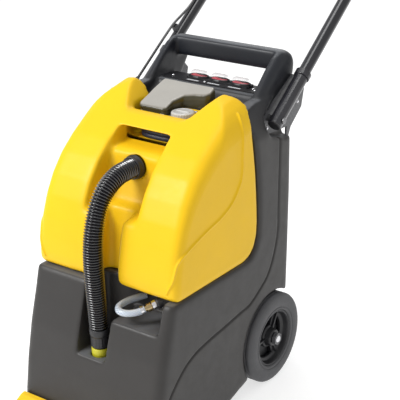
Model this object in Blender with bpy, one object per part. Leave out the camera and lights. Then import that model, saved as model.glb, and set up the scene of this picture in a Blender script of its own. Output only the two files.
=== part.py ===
"""Pull-back carpet extractor: a two-wheeled body with a lift-off recovery tank and a folding handle.

Metres, +Z up. The machine faces -Y and its right-hand side is +X. Design coordinates put y = 0 at the
recovery tank's front bottom edge and z = 0 on the floor; an empty moves the whole machine back, so that
the origin lies on the floor under the middle of its bounding box.
"""
import math

import bmesh
import bpy
from mathutils import Matrix, Vector

# ---------------------------------------------------------------- driving dimensions
GAP = 0.0003                     # clearance between pieces that touch
WALL = 0.005                     # wall of the rotomoulded shells
HALF = 0.176                     # half width of the body and of the tank
CAVITY_HALF = HALF - 0.006
SEAT_Z = 0.320                   # top of the body, where the recovery tank stands

WHEEL_R = 0.1016                 # 8 inch wheels
WHEEL_Y = 0.349
WHEEL_OUTER_X = 0.186
TYRE_WIDTH = 0.046
WELL_HALF = 0.128                # half width of the body between the wheels
AXLE_R = 0.008
AXLE_END_X = 0.1925

SHOE_FRONT_Y = -0.125            # foremost point of the machine
HANDLE_ANGLE = math.radians(37.5)
HANDLE_X = 0.175                 # centre of each handle tube
HANDLE_FOOT = (0.336, 0.590)     # (y, z) of the lower end of each handle tube
HANDLE_REACH = 0.630             # from the foot to the crossbar, along the tube
SLEEVE_R = 0.0148
SLEEVE_LENGTH = 0.128
TUBE_R = 0.0130
CROSSBAR_GRIP_R = 0.0165
PIVOT_AT = 0.016                 # the fold pivot, along the tube from its foot
PIVOT_R = 0.0040
TRIGGER_X = -0.1120
TRIGGER_ALONG = HANDLE_REACH - 0.0290

HOSE_R = 0.0190                  # corrugated vacuum hose
SOLUTION_HOSE_R = 0.0070         # clear braided hose

BRUSH_Y = 0.035
BRUSH_R = 0.034
BRUSH_Z = BRUSH_R + 0.0006
MOTOR_Y = 0.150
MOTOR_Z = 0.086
PULLEY_X = -0.1475

SWITCH_PITCH = 0.0530
SWITCH_Y = 0.3815
SWITCH_X = 0.0095                # the middle switch, beside the middle of the panel
PANEL_Z = 0.6455                 # top face of the control panel
PANEL_Y = (0.3520, 0.4005)
LID_Y = (0.194, 0.288)           # front and back of the lid's dome

HANDLE_DIR = Vector((0.0, math.cos(HANDLE_ANGLE), math.sin(HANDLE_ANGLE)))
HANDLE_UP = Vector((0.0, -math.sin(HANDLE_ANGLE), math.cos(HANDLE_ANGLE)))
CROSSBAR_Y = HANDLE_FOOT[0] + HANDLE_REACH * HANDLE_DIR.y
ORIGIN_Y = (SHOE_FRONT_Y + CROSSBAR_Y + CROSSBAR_GRIP_R) / 2

# ---------------------------------------------------------------- outlines, as (y, z, edge rounding)
TANK_OUTLINE = [
    (0.010, 0.3203, 0.010), (-0.001, 0.330, 0.014), (-0.003, 0.350, 0.016), (0.000, 0.380, 0.017),
    (0.008, 0.424, 0.018), (0.022, 0.467, 0.020), (0.042, 0.508, 0.023), (0.069, 0.545, 0.026),
    (0.103, 0.578, 0.030), (0.142, 0.6065, 0.032), (0.178, 0.6310, 0.032), (0.207, 0.6520, 0.028),
    (0.232, 0.6650, 0.022), (0.2485, 0.6665, 0.014), (0.2600, 0.6580, 0.010), (0.2625, 0.6440, 0.010),
    (0.2560, 0.6260, 0.012), (0.2600, 0.600, 0.012),
    (0.268, 0.557, 0.012), (0.276, 0.510, 0.012), (0.282, 0.455, 0.012), (0.286, 0.400, 0.012),
    (0.284, 0.368, 0.012), (0.275, 0.344, 0.012), (0.259, 0.328, 0.012), (0.236, 0.3203, 0.012),
]
HOUSING_OUTLINE = [
    (-0.006, SEAT_Z, 0.010), (-0.012, 0.312, 0.014), (-0.022, 0.276, 0.016), (-0.043, 0.204, 0.018),
    (-0.058, 0.129, 0.018), (-0.069, 0.051, 0.018), (-0.069, 0.024, 0.016), (-0.062, 0.012, 0.012),
    (0.190, 0.012, 0.014), (0.259, 0.032, 0.014), (0.411, 0.100, 0.014), (0.413, 0.217, 0.016),
    (0.414, 0.312, 0.016), (0.414, 0.430, 0.016), (0.411, 0.540, 0.016), (0.408, 0.600, 0.016),
    (0.404, 0.6425, 0.016), (0.300, 0.6425, 0.016), (0.268, 0.634, 0.014), (0.2575, 0.622, 0.010),
    (0.2635, 0.600, 0.008), (0.2715, 0.557, 0.008), (0.2795, 0.510, 0.008), (0.2855, 0.455, 0.008),
    (0.2895, 0.400, 0.008), (0.2875, 0.366, 0.008), (0.2775, 0.341, 0.008), (0.260, 0.3245, 0.008),
    (0.238, SEAT_Z, 0.008),
]
GRIP_OUTLINE = [
    (0.306, 0.632, 0.014), (0.332, 0.658, 0.016), (0.366, 0.691, 0.018), (0.396, 0.715, 0.020),
    (0.417, 0.7225, 0.020), (0.440, 0.7215, 0.020), (0.457, 0.712, 0.020), (0.465, 0.694, 0.020),
    (0.460, 0.668, 0.018), (0.438, 0.638, 0.016), (0.404, 0.606, 0.014), (0.330, 0.606, 0.014),
]
GRIP_HALF = 0.1495

VACUUM_HOSE_ROUTE = [
    (0.0, 0.098, 0.5335), (0.0, 0.078, 0.5335), (0.0, 0.052, 0.5315), (0.0, 0.026, 0.522),
    (0.0, 0.004, 0.506), (0.0, -0.014, 0.480), (0.0, -0.026, 0.445), (0.0, -0.0315, 0.405),
    (0.0, -0.0315, 0.362), (0.0, -0.0285, 0.318), (0.0, -0.0248, 0.275), (0.0, -0.0215, 0.2335),
]
SOLUTION_HOSE_ROUTE = [
    (0.062, 0.051, 0.291), (0.056, 0.038, 0.291), (0.048, 0.018, 0.290), (0.045, -0.001, 0.289),
    (0.048, -0.017, 0.288), (0.058, -0.027, 0.287), (0.072, -0.0270, 0.2865), (0.085, -0.0185, 0.2870),
    (0.0935, -0.0075, 0.2888), (0.100, 0.000, 0.2925),
]


# ---------------------------------------------------------------- scene and materials
def clear_scene():
    for obj in list(bpy.data.objects):
        bpy.data.objects.remove(obj, do_unlink=True)


def material(name, color, roughness, metallic=0.0, alpha=1.0):
    mat = bpy.data.materials.new(name)
    mat.use_nodes = True
    shader = mat.node_tree.nodes["Principled BSDF"]
    shader.inputs["Base Color"].default_value = (*color, 1.0)
    shader.inputs["Roughness"].default_value = roughness
    shader.inputs["Metallic"].default_value = metallic
    shader.inputs["Alpha"].default_value = alpha
    mat.diffuse_color = (*color, alpha)
    return mat


clear_scene()
MACHINE = bpy.data.objects.new("machine_origin", None)
bpy.context.scene.collection.objects.link(MACHINE)
MACHINE.location = (0.0, -ORIGIN_Y, 0.0)

HOUSING_BLACK = material("housing_black", (0.045, 0.045, 0.047), 0.55)
PANEL_BLACK = material("panel_black", (0.02, 0.02, 0.022), 0.5)
TANK_YELLOW = material("tank_yellow", (0.90, 0.60, 0.03), 0.38)
LID_SMOKE = material("lid_smoke", (0.48, 0.45, 0.38), 0.25, alpha=0.9)
HOSE_BLACK = material("hose_black", (0.012, 0.012, 0.013), 0.35)
CLEAR_VINYL = material("clear_vinyl", (0.62, 0.66, 0.70), 0.2, alpha=0.8)
COLLAR_LIME = material("collar_lime", (0.58, 0.55, 0.03), 0.4)
TUBE_BLACK = material("tube_black", (0.012, 0.012, 0.016), 0.3)
TYRE_GREY = material("tyre_grey", (0.11, 0.11, 0.115), 0.75)
ROCKER_RED = material("rocker_red", (0.65, 0.03, 0.06), 0.3)
BRIGHT_STEEL = material("bright_steel", (0.72, 0.72, 0.74), 0.2, 1.0)
BRASS = material("brass", (0.70, 0.55, 0.25), 0.3, 1.0)
RUBBER = material("rubber", (0.02, 0.02, 0.022), 0.7)
MOTOR_GREY = material("motor_grey", (0.30, 0.31, 0.33), 0.5, 0.6)
FLOAT_WHITE = material("float_white", (0.75, 0.75, 0.72), 0.4)
BRISTLE_BLUE = material("bristle_blue", (0.05, 0.10, 0.30), 0.8)


# ---------------------------------------------------------------- making objects
def add_object(name, bm, mat, parent=MACHINE, smooth_angle=30.0):
    mesh = bpy.data.meshes.new(name)
    bm.normal_update()
    bm.to_mesh(mesh)
    bm.free()
    mesh.shade_smooth()
    mesh.set_sharp_from_angle(angle=math.radians(smooth_angle))
    mesh.materials.append(mat)
    obj = bpy.data.objects.new(name, mesh)
    bpy.context.scene.collection.objects.link(obj)
    obj.parent = parent
    return obj


def pivot(name, x, y, z):
    """An empty on a joint's axis, that moving pieces are parented to."""
    empty = bpy.data.objects.new(name, None)
    bpy.context.scene.collection.objects.link(empty)
    empty.parent = MACHINE
    empty.location = (x, y, z)
    return empty


def as_tool(obj):
    """Hides an object that only shapes another one."""
    obj.hide_render = True
    obj.display_type = "WIRE"
    return obj


def carve(target, tool, operation="DIFFERENCE"):
    """Cuts one object with another, or joins the other to it."""
    mod = target.modifiers.new(tool.name, "BOOLEAN")
    mod.operation = operation
    mod.solver = "EXACT"
    mod.object = as_tool(tool)


def carve_each(target, tools, operation="DIFFERENCE"):
    for name, bm in tools.items():
        carve(target, add_object("tool_" + name, bm, HOUSING_BLACK), operation)


# ---------------------------------------------------------------- solids
def signed_area(points):
    pairs = zip(points, points[1:] + points[:1])
    return sum(a[0] * b[1] - b[0] * a[1] for a, b in pairs) / 2


def inward_normals(points):
    """Unit-offset directions into a polygon, at its corners."""
    turn = 1.0 if signed_area(points) > 0 else -1.0
    count = len(points)
    result = []
    for i in range(count):
        before = Vector(points[i]) - Vector(points[i - 1])
        after = Vector(points[(i + 1) % count]) - Vector(points[i])
        n0 = Vector((-before.y, before.x)).normalized() * turn
        n1 = Vector((-after.y, after.x)).normalized() * turn
        middle = (n0 + n1).normalized()
        result.append(middle / max(middle.dot(n1), 0.5))
    return result


def skin(rings, capped=True):
    """A closed mesh from a list of rings of points, each ring with the same number of points."""
    bm = bmesh.new()
    grid = [[bm.verts.new(p) for p in ring] for ring in rings]
    count = len(grid[0])
    for low, high in zip(grid, grid[1:]):
        for i in range(count):
            j = (i + 1) % count
            bm.faces.new((low[i], low[j], high[j], high[i]))
    if capped:
        bm.faces.new(list(reversed(grid[0])))
        bm.faces.new(grid[-1])
    else:
        for i in range(count):
            j = (i + 1) % count
            bm.faces.new((grid[-1][i], grid[-1][j], grid[0][j], grid[0][i]))
    bmesh.ops.recalc_face_normals(bm, faces=bm.faces)
    return bm


def rounded_slab(outline, half_width, steps=4, center_x=0.0):
    """An outline of (y, z, rounding) extruded along X, its two rims rounded over."""
    flat = [(y, z) for y, z, _ in outline]
    normals = inward_normals(flat)
    right = []
    for k in range(steps + 1):
        angle = math.pi / 2 * k / steps
        ring = []
        for (y, z, r), n in zip(outline, normals):
            inset = r * (1 - math.cos(angle))
            ring.append((half_width - r * (1 - math.sin(angle)), y + n.x * inset, z + n.y * inset))
        right.append(ring)
    left = [[(-x, y, z) for x, y, z in ring] for ring in reversed(right)]
    rings = [[(x + center_x, y, z) for x, y, z in ring] for ring in left + right]
    return skin(rings)


def prism(points, low, high, axis="X"):
    """A polygon extruded along an axis; its points are the other two coordinates, in X, Y, Z order."""
    def place(p, t):
        return {"X": (t, p[0], p[1]), "Y": (p[0], t, p[1]), "Z": (p[0], p[1], t)}[axis]
    return skin([[place(p, low) for p in points], [place(p, high) for p in points]])


def box(low, high, bevel=0.0, segments=2):
    bm = prism([(low[0], low[1]), (high[0], low[1]), (high[0], high[1]), (low[0], high[1])],
               low[2], high[2], "Z")
    if bevel:
        bmesh.ops.bevel(bm, geom=list(bm.edges), offset=bevel, segments=segments, profile=0.5,
                        affect="EDGES", clamp_overlap=True)
    return bm


def rounded_rectangle(x0, x1, y0, y1, radius, steps=4):
    points = []
    for cx, cy, start in ((x1 - radius, y1 - radius, 0), (x0 + radius, y1 - radius, 90),
                          (x0 + radius, y0 + radius, 180), (x1 - radius, y0 + radius, 270)):
        for k in range(steps + 1):
            a = math.radians(start + 90 * k / steps)
            points.append((cx + radius * math.cos(a), cy + radius * math.sin(a)))
    return points


def oriented(bm, center, direction):
    """Moves a mesh made about local Z to a place, with local Z along a direction."""
    turn = Vector((0, 0, 1)).rotation_difference(Vector(direction).normalized()).to_matrix().to_4x4()
    bm.transform(Matrix.Translation(center) @ turn)
    return bm


def lathe(profile, segments, center=(0, 0, 0), direction=(0, 0, 1)):
    """A profile of (radius, height) turned about an axis. A closed ring when no radius is zero."""
    solid = profile[0][0] == 0 and profile[-1][0] == 0
    body = profile[1:-1] if solid else profile
    rings = []
    for r, h in body:
        rings.append([(r * math.cos(2 * math.pi * k / segments), r * math.sin(2 * math.pi * k / segments), h)
                      for k in range(segments)])
    bm = skin(rings, capped=solid)
    return oriented(bm, Vector(center), direction)


def cylinder(radius, start, end, segments=24, chamfer=0.0):
    start, end = Vector(start), Vector(end)
    length = (end - start).length
    profile = [(0, 0), (radius, 0), (radius, length), (0, length)]
    if chamfer:
        profile = [(0, 0), (radius - chamfer, 0), (radius, chamfer), (radius, length - chamfer),
                   (radius - chamfer, length), (0, length)]
    return lathe(profile, segments, start, end - start)


def ring(outer, inner, start, end, segments=24):
    start, end = Vector(start), Vector(end)
    length = (end - start).length
    return lathe([(inner, 0), (outer, 0), (outer, length), (inner, length)], segments, start, end - start)


def smooth_route(route, spacing):
    """Points at about equal spacing on a smooth curve through the route's own points."""
    knots = [Vector(p) for p in route]
    knots = [knots[0] * 2 - knots[1]] + knots + [knots[-1] * 2 - knots[-2]]
    dense = []
    for a, b, c, d in zip(knots, knots[1:], knots[2:], knots[3:]):
        for k in range(16):
            t = k / 16
            dense.append(0.5 * (2 * b + (c - a) * t + (2 * a - 5 * b + 4 * c - d) * t * t
                                + (3 * b - a - 3 * c + d) * t ** 3))
    dense.append(knots[-2])
    total = sum((q - p).length for p, q in zip(dense, dense[1:]))
    count = max(2, round(total / spacing))
    points, travelled, target = [dense[0]], 0.0, total / count
    for p, q in zip(dense, dense[1:]):
        step = (q - p).length
        while len(points) < count and travelled + step >= target * len(points):
            points.append(p.lerp(q, (target * len(points) - travelled) / step))
        travelled += step
    points.append(dense[-1])
    return points


def tube(name, points, radius, mat, parent=MACHINE, resolution=3):
    """A solid round tube along points: a curve with a bevel and filled caps."""
    curve = bpy.data.curves.new(name, "CURVE")
    curve.dimensions = "3D"
    curve.bevel_depth = radius
    curve.bevel_resolution = resolution
    curve.use_fill_caps = True
    spline = curve.splines.new("POLY")
    spline.points.add(len(points) - 1)
    for point, place in zip(spline.points, points):
        point.co = (*place, 1.0)
    curve.materials.append(mat)
    obj = bpy.data.objects.new(name, curve)
    bpy.context.scene.collection.objects.link(obj)
    obj.parent = parent
    return obj


def on_handle(x, along, up=0.0):
    """A point beside a handle tube: distance along it from its foot, and height over its axis."""
    foot = Vector((x, *HANDLE_FOOT))
    return foot + HANDLE_DIR * along + HANDLE_UP * up


def handle_frame(x, along):
    """Local X, the tube's own direction and the tube's upper side, at a point on a handle tube."""
    place = on_handle(x, along)
    return Matrix((
        (1.0, 0.0, 0.0, place.x),
        (0.0, HANDLE_DIR.y, HANDLE_UP.y, place.y),
        (0.0, HANDLE_DIR.z, HANDLE_UP.z, place.z),
        (0.0, 0.0, 0.0, 1.0)))


# ---------------------------------------------------------------- main housing
def grown(outline, by):
    flat = [(y, z) for y, z, _ in outline]
    return [(y - n.x * by, z - n.y * by, max(r + by, 0.002))
            for (y, z, r), n in zip(outline, inward_normals(flat))]


def hose_channel(grow=0.0):
    return prism([(-0.12, 0.172 - grow), (0.050 + grow, 0.176 - grow), (0.050 + grow, 0.40), (-0.12, 0.40)],
                 -0.040 - grow, 0.034 + grow)


def coupler_pocket(grow=0.0):
    floor = 0.258 - grow
    return prism([(-0.12, floor - 0.004), (0.056 + grow, floor + 0.004), (0.056 + grow, 0.40), (-0.12, 0.40)],
                 0.030 - grow, 0.149 + grow)


def build_housing():
    housing = add_object("main_housing", rounded_slab(HOUSING_OUTLINE, HALF), HOUSING_BLACK)
    carve_each(housing, {"grip": rounded_slab(GRIP_OUTLINE, GRIP_HALF)}, "UNION")

    tools = {
        "window": prism([(0.22, 0.6428), (0.4030, 0.6428), (0.4075, 0.598), (0.52, 0.598), (0.52, 0.6800),
                         (0.4115, 0.6800), (0.4115, 0.80), (0.22, 0.80)], -0.1270, 0.1270),
        "top_slope": prism([(0.22, 0.70), (0.3400, 0.70), (0.3400, 0.6360), (0.288, 0.596), (0.22, 0.596)],
                           -0.1255, 0.1255),
        "channel": hose_channel(),
        "pocket": coupler_pocket(),
        "base": rounded_slab([(-0.063, -0.03, 0.013), (-0.0630, 0.051, 0.013), (-0.0520, 0.129, 0.013),
                              (-0.0460, 0.160, 0.013), (0.232, 0.160, 0.006), (0.232, -0.03, 0.006)],
                             CAVITY_HALF),
        "motor_bay": rounded_slab([(0.2225, 0.2170, 0.003), (0.2225, 0.3095, 0.006), (0.262, 0.3145, 0.006),
                                   (0.286, 0.338, 0.006), (0.2950, 0.400, 0.006), (0.2905, 0.455, 0.006),
                                   (0.2790, 0.540, 0.006), (0.4050, 0.540, 0.011), (0.4085, 0.430, 0.011),
                                   (0.4080, 0.2170, 0.010)], CAVITY_HALF),
        "column_top": prism([(0.2840, 0.530), (0.2770, 0.557), (0.292, 0.590), (0.340, 0.628), (0.394, 0.630),
                             (0.4020, 0.530)], -0.1430, 0.1430),
        "axle_bay": prism([(0.238, 0.040), (0.258, 0.040), (0.405, 0.106), (0.406, 0.220), (0.238, 0.220)],
                          -0.1225, 0.1225),
        "rear_opening": box((-0.100, 0.395, 0.240), (0.100, 0.430, 0.560)),
        "panel_opening": box((SWITCH_X - 0.078, SWITCH_Y - 0.0140, 0.600),
                             (SWITCH_X + 0.078, SWITCH_Y + 0.0115, 0.700)),
        "brush_bearings": cylinder(0.0061, (-0.1745, BRUSH_Y, BRUSH_Z), (0.1745, BRUSH_Y, BRUSH_Z), 32),
        "axle_hole": cylinder(AXLE_R + GAP, (-0.16, WHEEL_Y, WHEEL_R), (0.16, WHEEL_Y, WHEEL_R), 32),
        "shoe_hole": box((-0.032, -0.100, 0.018), (0.032, -0.050, 0.044)),
        "collar_hole": cylinder(0.0175, (0.0, -0.0195, 0.120), (0.0, -0.0195, 0.185), 24),
        "fill_hole": cylinder(0.026, (-0.095, 0.130, 0.300), (-0.095, 0.130, 0.340), 24),
    }
    for side, sign in (("left", -1), ("right", 1)):
        low, high = sorted((sign * WELL_HALF, sign * 0.25))
        well = lathe([(0, low), (WHEEL_R + 0.0075, low), (WHEEL_R + 0.0075, high), (0, high)], 48,
                     (0, WHEEL_Y, WHEEL_R), (1, 0, 0))
        tools["well_" + side] = well
        tools["heel_" + side] = prism([(0.266, -0.05), (0.60, -0.05), (0.60, 0.190), (WHEEL_Y, 0.190),
                                       (0.266, 0.060)], low, high)
        lean = [(sign * 0.1785, 0.565), (sign * 0.1530, 0.640), (sign * 0.1490, 0.80), (sign * 0.30, 0.80),
                (sign * 0.30, 0.565)]
        tools["shoulder_" + side] = prism(lean, 0.20, 0.60, "Y")
        low, high = sorted((sign * 0.1500, sign * 0.25))
        tools["bracket_" + side] = prism([(0.316, 0.592), (0.318, 0.609), (0.440, 0.684), (0.56, 0.80),
                                          (0.56, 0.552), (0.384, 0.552), (0.326, 0.570)], low, high)
    carve_each(housing, tools)

    solution = rounded_slab([(-0.0440, 0.166, 0.012), (-0.0175, 0.262, 0.012), (-0.005, 0.3145, 0.008),
                             (0.217, 0.3145, 0.008), (0.217, 0.166, 0.006)], CAVITY_HALF)
    chamber = add_object("tool_solution_chamber", solution, HOUSING_BLACK)
    carve_each(chamber, {"channel_wall": hose_channel(WALL), "pocket_wall": coupler_pocket(WALL)})
    carve(housing, chamber)


def build_covers():
    cover = prism(rounded_rectangle(-0.112, 0.112, 0.226, 0.574, 0.012), 0.4146, 0.4186, "Y")
    add_object("rear_cover", cover, HOUSING_BLACK)
    panel = prism(rounded_rectangle(-0.1225, 0.1225, *PANEL_Y, 0.006), 0.6431, PANEL_Z, "Z")
    plate = add_object("control_panel", panel, PANEL_BLACK)
    for i in range(3):
        x = SWITCH_X + (i - 1) * SWITCH_PITCH
        hole = box((x - 0.0198, SWITCH_Y - 0.0098, 0.60), (x + 0.0198, SWITCH_Y + 0.0098, 0.70))
        carve_each(plate, {f"switch_hole_{i + 1}": hole})
    plug = lathe([(0, 0), (0.0250, 0), (0.0250, 0.0130), (0, 0.0130)], 24, (-0.095, 0.130, 0.3060))
    add_object("fill_cap", plug, RUBBER)
    inlet = lathe([(0, 0), (0.013, 0), (0.013, 0.004), (0.0085, 0.006), (0.007, 0.030), (0, 0.030)], 20,
                  (0.070, 0.4189, 0.262), (0, 1, 0))
    add_object("power_inlet", inlet, RUBBER)


# ---------------------------------------------------------------- switches
def build_switches():
    base = PANEL_Z + GAP
    plan = rounded_rectangle(SWITCH_X - 0.0785, SWITCH_X + 0.0785, SWITCH_Y - 0.013, SWITCH_Y + 0.013, 0.003)
    frame = prism(plan, base, base + 0.0035, "Z")
    bezels = add_object("switch_bezels", frame, PANEL_BLACK)
    side = [(-0.0172, 0.0064), (-0.0175, 0.0020), (-0.0080, -0.0050), (0.0080, -0.0050), (0.0175, -0.0022),
            (0.0170, 0.0042), (0.0000, 0.0038)]
    for i in range(3):
        x = SWITCH_X + (i - 1) * SWITCH_PITCH
        hole = box((x - 0.0186, SWITCH_Y - 0.0086, base - 0.01), (x + 0.0186, SWITCH_Y + 0.0086, base + 0.01))
        carve_each(bezels, {f"bezel_hole_{i + 1}": hole})
        axis = pivot(f"rocker_axis_{i + 1}", x, SWITCH_Y, PANEL_Z + 0.001)
        add_object(f"switch_rocker_{i + 1}", prism(side, -0.0076, 0.0076, "Y"), ROCKER_RED, axis)


# ---------------------------------------------------------------- recovery tank
def hose_recess(grow=0.0):
    return prism([(-0.10, 0.600 + grow), (0.150 + grow, 0.600 + grow), (0.152 + grow, 0.568 - grow),
                  (0.114 + grow, 0.562 - grow), (0.1045 + grow, 0.556 - grow), (0.1035 + grow, 0.505 - grow),
                  (0.086 + grow, 0.462 - grow), (-0.10, 0.438 - grow)], -0.064 - grow, 0.064 + grow)


def tank_channel(grow=0.0):
    return prism([(-0.10, 0.480), (0.066 + grow, 0.480), (0.055 + grow, 0.29), (-0.10, 0.29)],
                 -0.036 - grow, 0.031 + grow)


def lid_well(grow=0.0):
    plan = rounded_rectangle(-0.078 - grow, 0.078 + grow, 0.190 - grow, 0.2480 + grow, 0.018)
    return prism(plan, 0.566 - grow, 0.80, "Z")


def flared(points, half_width, slope):
    """A symmetric prism along X whose sides lean outwards above the saddle between the two lobes."""
    spread = [half_width + slope * (z - 0.6215) for _, z in points]
    return skin([[(side * h, y, z) for h, (y, z) in zip(spread, points)] for side in (-1, 1)])


def lobe_shoulder(sign, shrink=0.0):
    """What the rounded outer shoulder of a lobe takes away; it drops a little towards the front."""
    profile = [(0.104, 0.6750), (0.115, 0.6658), (0.134, 0.6610), (0.152, 0.6485), (0.164, 0.6350),
               (0.1715, 0.6190), (0.1768, 0.5990)]
    rings = []
    for y in (0.060, 0.300):
        drop = 0.22 * (0.245 - y) + shrink
        points = [(x - shrink, z - drop) for x, z in profile]
        points += [(0.30, points[-1][1]), (0.30, 0.80), (points[0][0], 0.80)]
        rings.append([(sign * x, y, z) for x, z in points])
    return skin(rings)


def build_tank():
    tank = add_object("recovery_tank", rounded_slab(TANK_OUTLINE, HALF), TANK_YELLOW)
    saddle = flared([(0.160, 0.80), (0.176, 0.6230), (0.190, 0.6215), (0.30, 0.6215), (0.30, 0.80)],
                    0.0715, 0.85)
    saddle_front = flared([(0.060, 0.80), (0.132, 0.6070), (0.150, 0.6190), (0.178, 0.6230), (0.178, 0.80)],
                          0.067, 1.1)
    slot = prism([(-0.055, 0.136), (0.050, 0.136), (0.058, 0.200), (-0.076, 0.200)], 0.5700, 0.5985, "Z")
    carve_each(tank, {"shoulder_left": lobe_shoulder(-1), "shoulder_right": lobe_shoulder(1)})
    carve_each(tank, {"saddle": saddle, "saddle_front": saddle_front, "recess": hose_recess(),
                      "tank_channel": tank_channel(), "lid_well": lid_well(), "carry_slot": slot})

    inside = [(y, z, max(r - WALL, 0.004)) for y, z, r in grown(TANK_OUTLINE, -WALL)]
    hollow = add_object("tool_tank_hollow", rounded_slab(inside, HALF - WALL, 3), HOUSING_BLACK)
    top = prism([(0.0, 0.90), (0.135, 0.595), (0.190, 0.555), (0.40, 0.555), (0.40, 0.90)], -0.116, 0.116)
    carve_each(hollow, {"lobe_wall_left": lobe_shoulder(-1, WALL), "lobe_wall_right": lobe_shoulder(1, WALL)})
    carve_each(hollow, {"recess_wall": hose_recess(WALL), "tank_channel_wall": tank_channel(WALL),
                        "lid_well_wall": lid_well(WALL), "top_wall": top})
    carve(tank, hollow)
    carve_each(tank, {"neck_hole": cylinder(0.0222, (0.0, 0.2190, 0.540), (0.0, 0.2190, 0.580), 28),
                      "hose_hole": cylinder(0.0215, (0.0, 0.080, 0.5335), (0.0, 0.140, 0.5335), 32)})


def lid_outline():
    """The lid's plan: wide at the back, with its front right corner cut away for the cap."""
    front, back = LID_Y
    return [(-0.058, front), (-0.001, front), (0.0065, 0.199), (0.0055, 0.222), (0.016, 0.2445), (0.038, 0.253),
            (0.060, 0.258), (0.067, 0.266), (0.067, 0.283), (0.062, back), (-0.062, back), (-0.067, 0.283),
            (-0.067, 0.246), (-0.066, 0.238), (-0.0645, 0.201)]


def build_lid():
    base = prism(rounded_rectangle(-0.070, 0.070, 0.1935, 0.2450, 0.016), 0.5885, 0.6130, "Z")
    neck = cylinder(0.0190, (0.0, 0.2190, 0.5563), (0.0, 0.2190, 0.5900), 28)
    plan = lid_outline()
    normals = inward_normals(plan)
    rings = []
    for inset, front, back in ((0.0015, 0.6225, 0.6225), (0.0, 0.6250, 0.6510), (0.0010, 0.6290, 0.6600),
                               (0.0040, 0.6315, 0.6640)):
        ring_points = []
        for (x, y), n in zip(plan, normals):
            depth = (y - LID_Y[0]) / (LID_Y[1] - LID_Y[0])
            ring_points.append((x + n.x * inset, y + n.y * inset, front + (back - front) * depth))
        rings.append(ring_points)
    lid = add_object("tank_lid", skin(rings), LID_SMOKE)
    lip = [(-0.050, 0.1955), (-0.0015, 0.1955), (0.005, 0.1995), (0.004, 0.222), (0.014, 0.2440),
           (-0.060, 0.2440), (-0.0585, 0.202)]
    carve_each(lid, {"lid_base": base, "lid_neck": neck, "lid_lip": prism(lip, 0.6120, 0.6240, "Z")}, "UNION")
    bands = []
    for inset, z in ((0.0065, 0), (0.002, 0), (0.0, 0.005), (0.003, 0.0085), (0.003, 0.0110), (0.0, 0.0145),
                     (0.002, 0.0215), (0.0065, 0.0215)):
        plan = rounded_rectangle(-0.066 + inset, 0.066 - inset, 0.1925 + inset, 0.2460 - inset,
                                 0.0262 - inset, 5)
        bands.append([(x, y, 0.5663 + z) for x, y in plan])
    add_object("lid_gasket", skin(bands, capped=False), RUBBER)
    cap_axis = pivot("cap_axis", 0.0325, 0.2185, 0.6133)
    cap = lathe([(0, 0), (0.0235, 0), (0.0245, 0.002), (0.0245, 0.0105), (0.0225, 0.0125), (0, 0.0125)], 28)
    add_object("tank_cap", cap, LID_SMOKE, cap_axis)
    cage = lathe([(0.0060, 0), (0.0262, 0), (0.0262, 0.0847), (0.0232, 0.0847), (0.0232, 0.002),
                  (0.0060, 0.002)], 24, (0.0, 0.2190, 0.4700))
    add_object("float_cage", cage, HOUSING_BLACK)
    ball = bmesh.new()
    bmesh.ops.create_icosphere(ball, subdivisions=2, radius=0.0200)
    ball_axis = pivot("float_axis", 0.0, 0.2190, 0.4930)
    add_object("float_ball", ball, FLOAT_WHITE, ball_axis)


# ---------------------------------------------------------------- hoses and fittings
def build_hoses():
    hose = smooth_route(VACUUM_HOSE_ROUTE, 0.016)
    tube("vacuum_hose", hose, HOSE_R, HOSE_BLACK, resolution=3)
    flange = lathe([(0.0196, 0.0), (0.0245, 0.0), (0.0245, 0.003), (0.0225, 0.005), (0.0220, 0.014),
                    (0.0196, 0.014)], 28, (0.0, 0.1030, 0.5335), (0, -1, 0))
    add_object("hose_flange", flange, RUBBER)
    top = hose[-1] + (hose[-1] - hose[-2]).normalized() * GAP
    end = Vector((0.0, -0.0195, 0.1906))
    cuff = lathe([(0, 0), (0.0178, 0), (0.0186, 0.003), (0.0186, 0.026), (0.0205, 0.029),
                  (0.0205, (top - end).length - 0.001), (0, (top - end).length - 0.001)], 24, end, top - end)
    add_object("hose_cuff", cuff, RUBBER)
    collar = lathe([(0.0135, 0), (0.0172, 0), (0.0172, 0.0152), (0.0182, 0.0156), (0.0182, 0.0290),
                    (0.0135, 0.0290)], 24, (0.0, -0.0195, 0.1600))
    add_object("hose_collar", collar, COLLAR_LIME)

    loop = smooth_route(SOLUTION_HOSE_ROUTE, 0.009)
    tube("solution_hose", loop, SOLUTION_HOSE_R, CLEAR_VINYL, resolution=2)
    tip = Vector(SOLUTION_HOSE_ROUTE[-1])
    along = (tip - Vector(SOLUTION_HOSE_ROUTE[-2])).normalized()
    coupler = [(0, 0), (0.0062, 0), (0.0062, 0.004), (0.0088, 0.004), (0.0088, 0.013), (0.0070, 0.015),
               (0.0070, 0.024), (0, 0.024)]
    add_object("coupler_body", lathe(coupler, 18, tip + along * GAP, along), BRASS)
    sleeve = ring(0.0105, 0.0073, tip + along * 0.0158, tip + along * 0.0235, 18)
    add_object("coupler_ring", sleeve, BRIGHT_STEEL)
    socket = lathe([(0, 0), (0.0100, 0), (0.0115, 0.003), (0.0115, 0.012), (0, 0.012)], 18,
                   tip + along * (0.0243 + GAP), along)
    add_object("coupler_socket", socket, PANEL_BLACK)
    clamp_at = tip - along * 0.0085
    clamp = ring(0.0086, SOLUTION_HOSE_R + 0.0004, clamp_at, clamp_at + along * 0.006, 18)
    add_object("hose_clamp", clamp, BRIGHT_STEEL)


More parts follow.
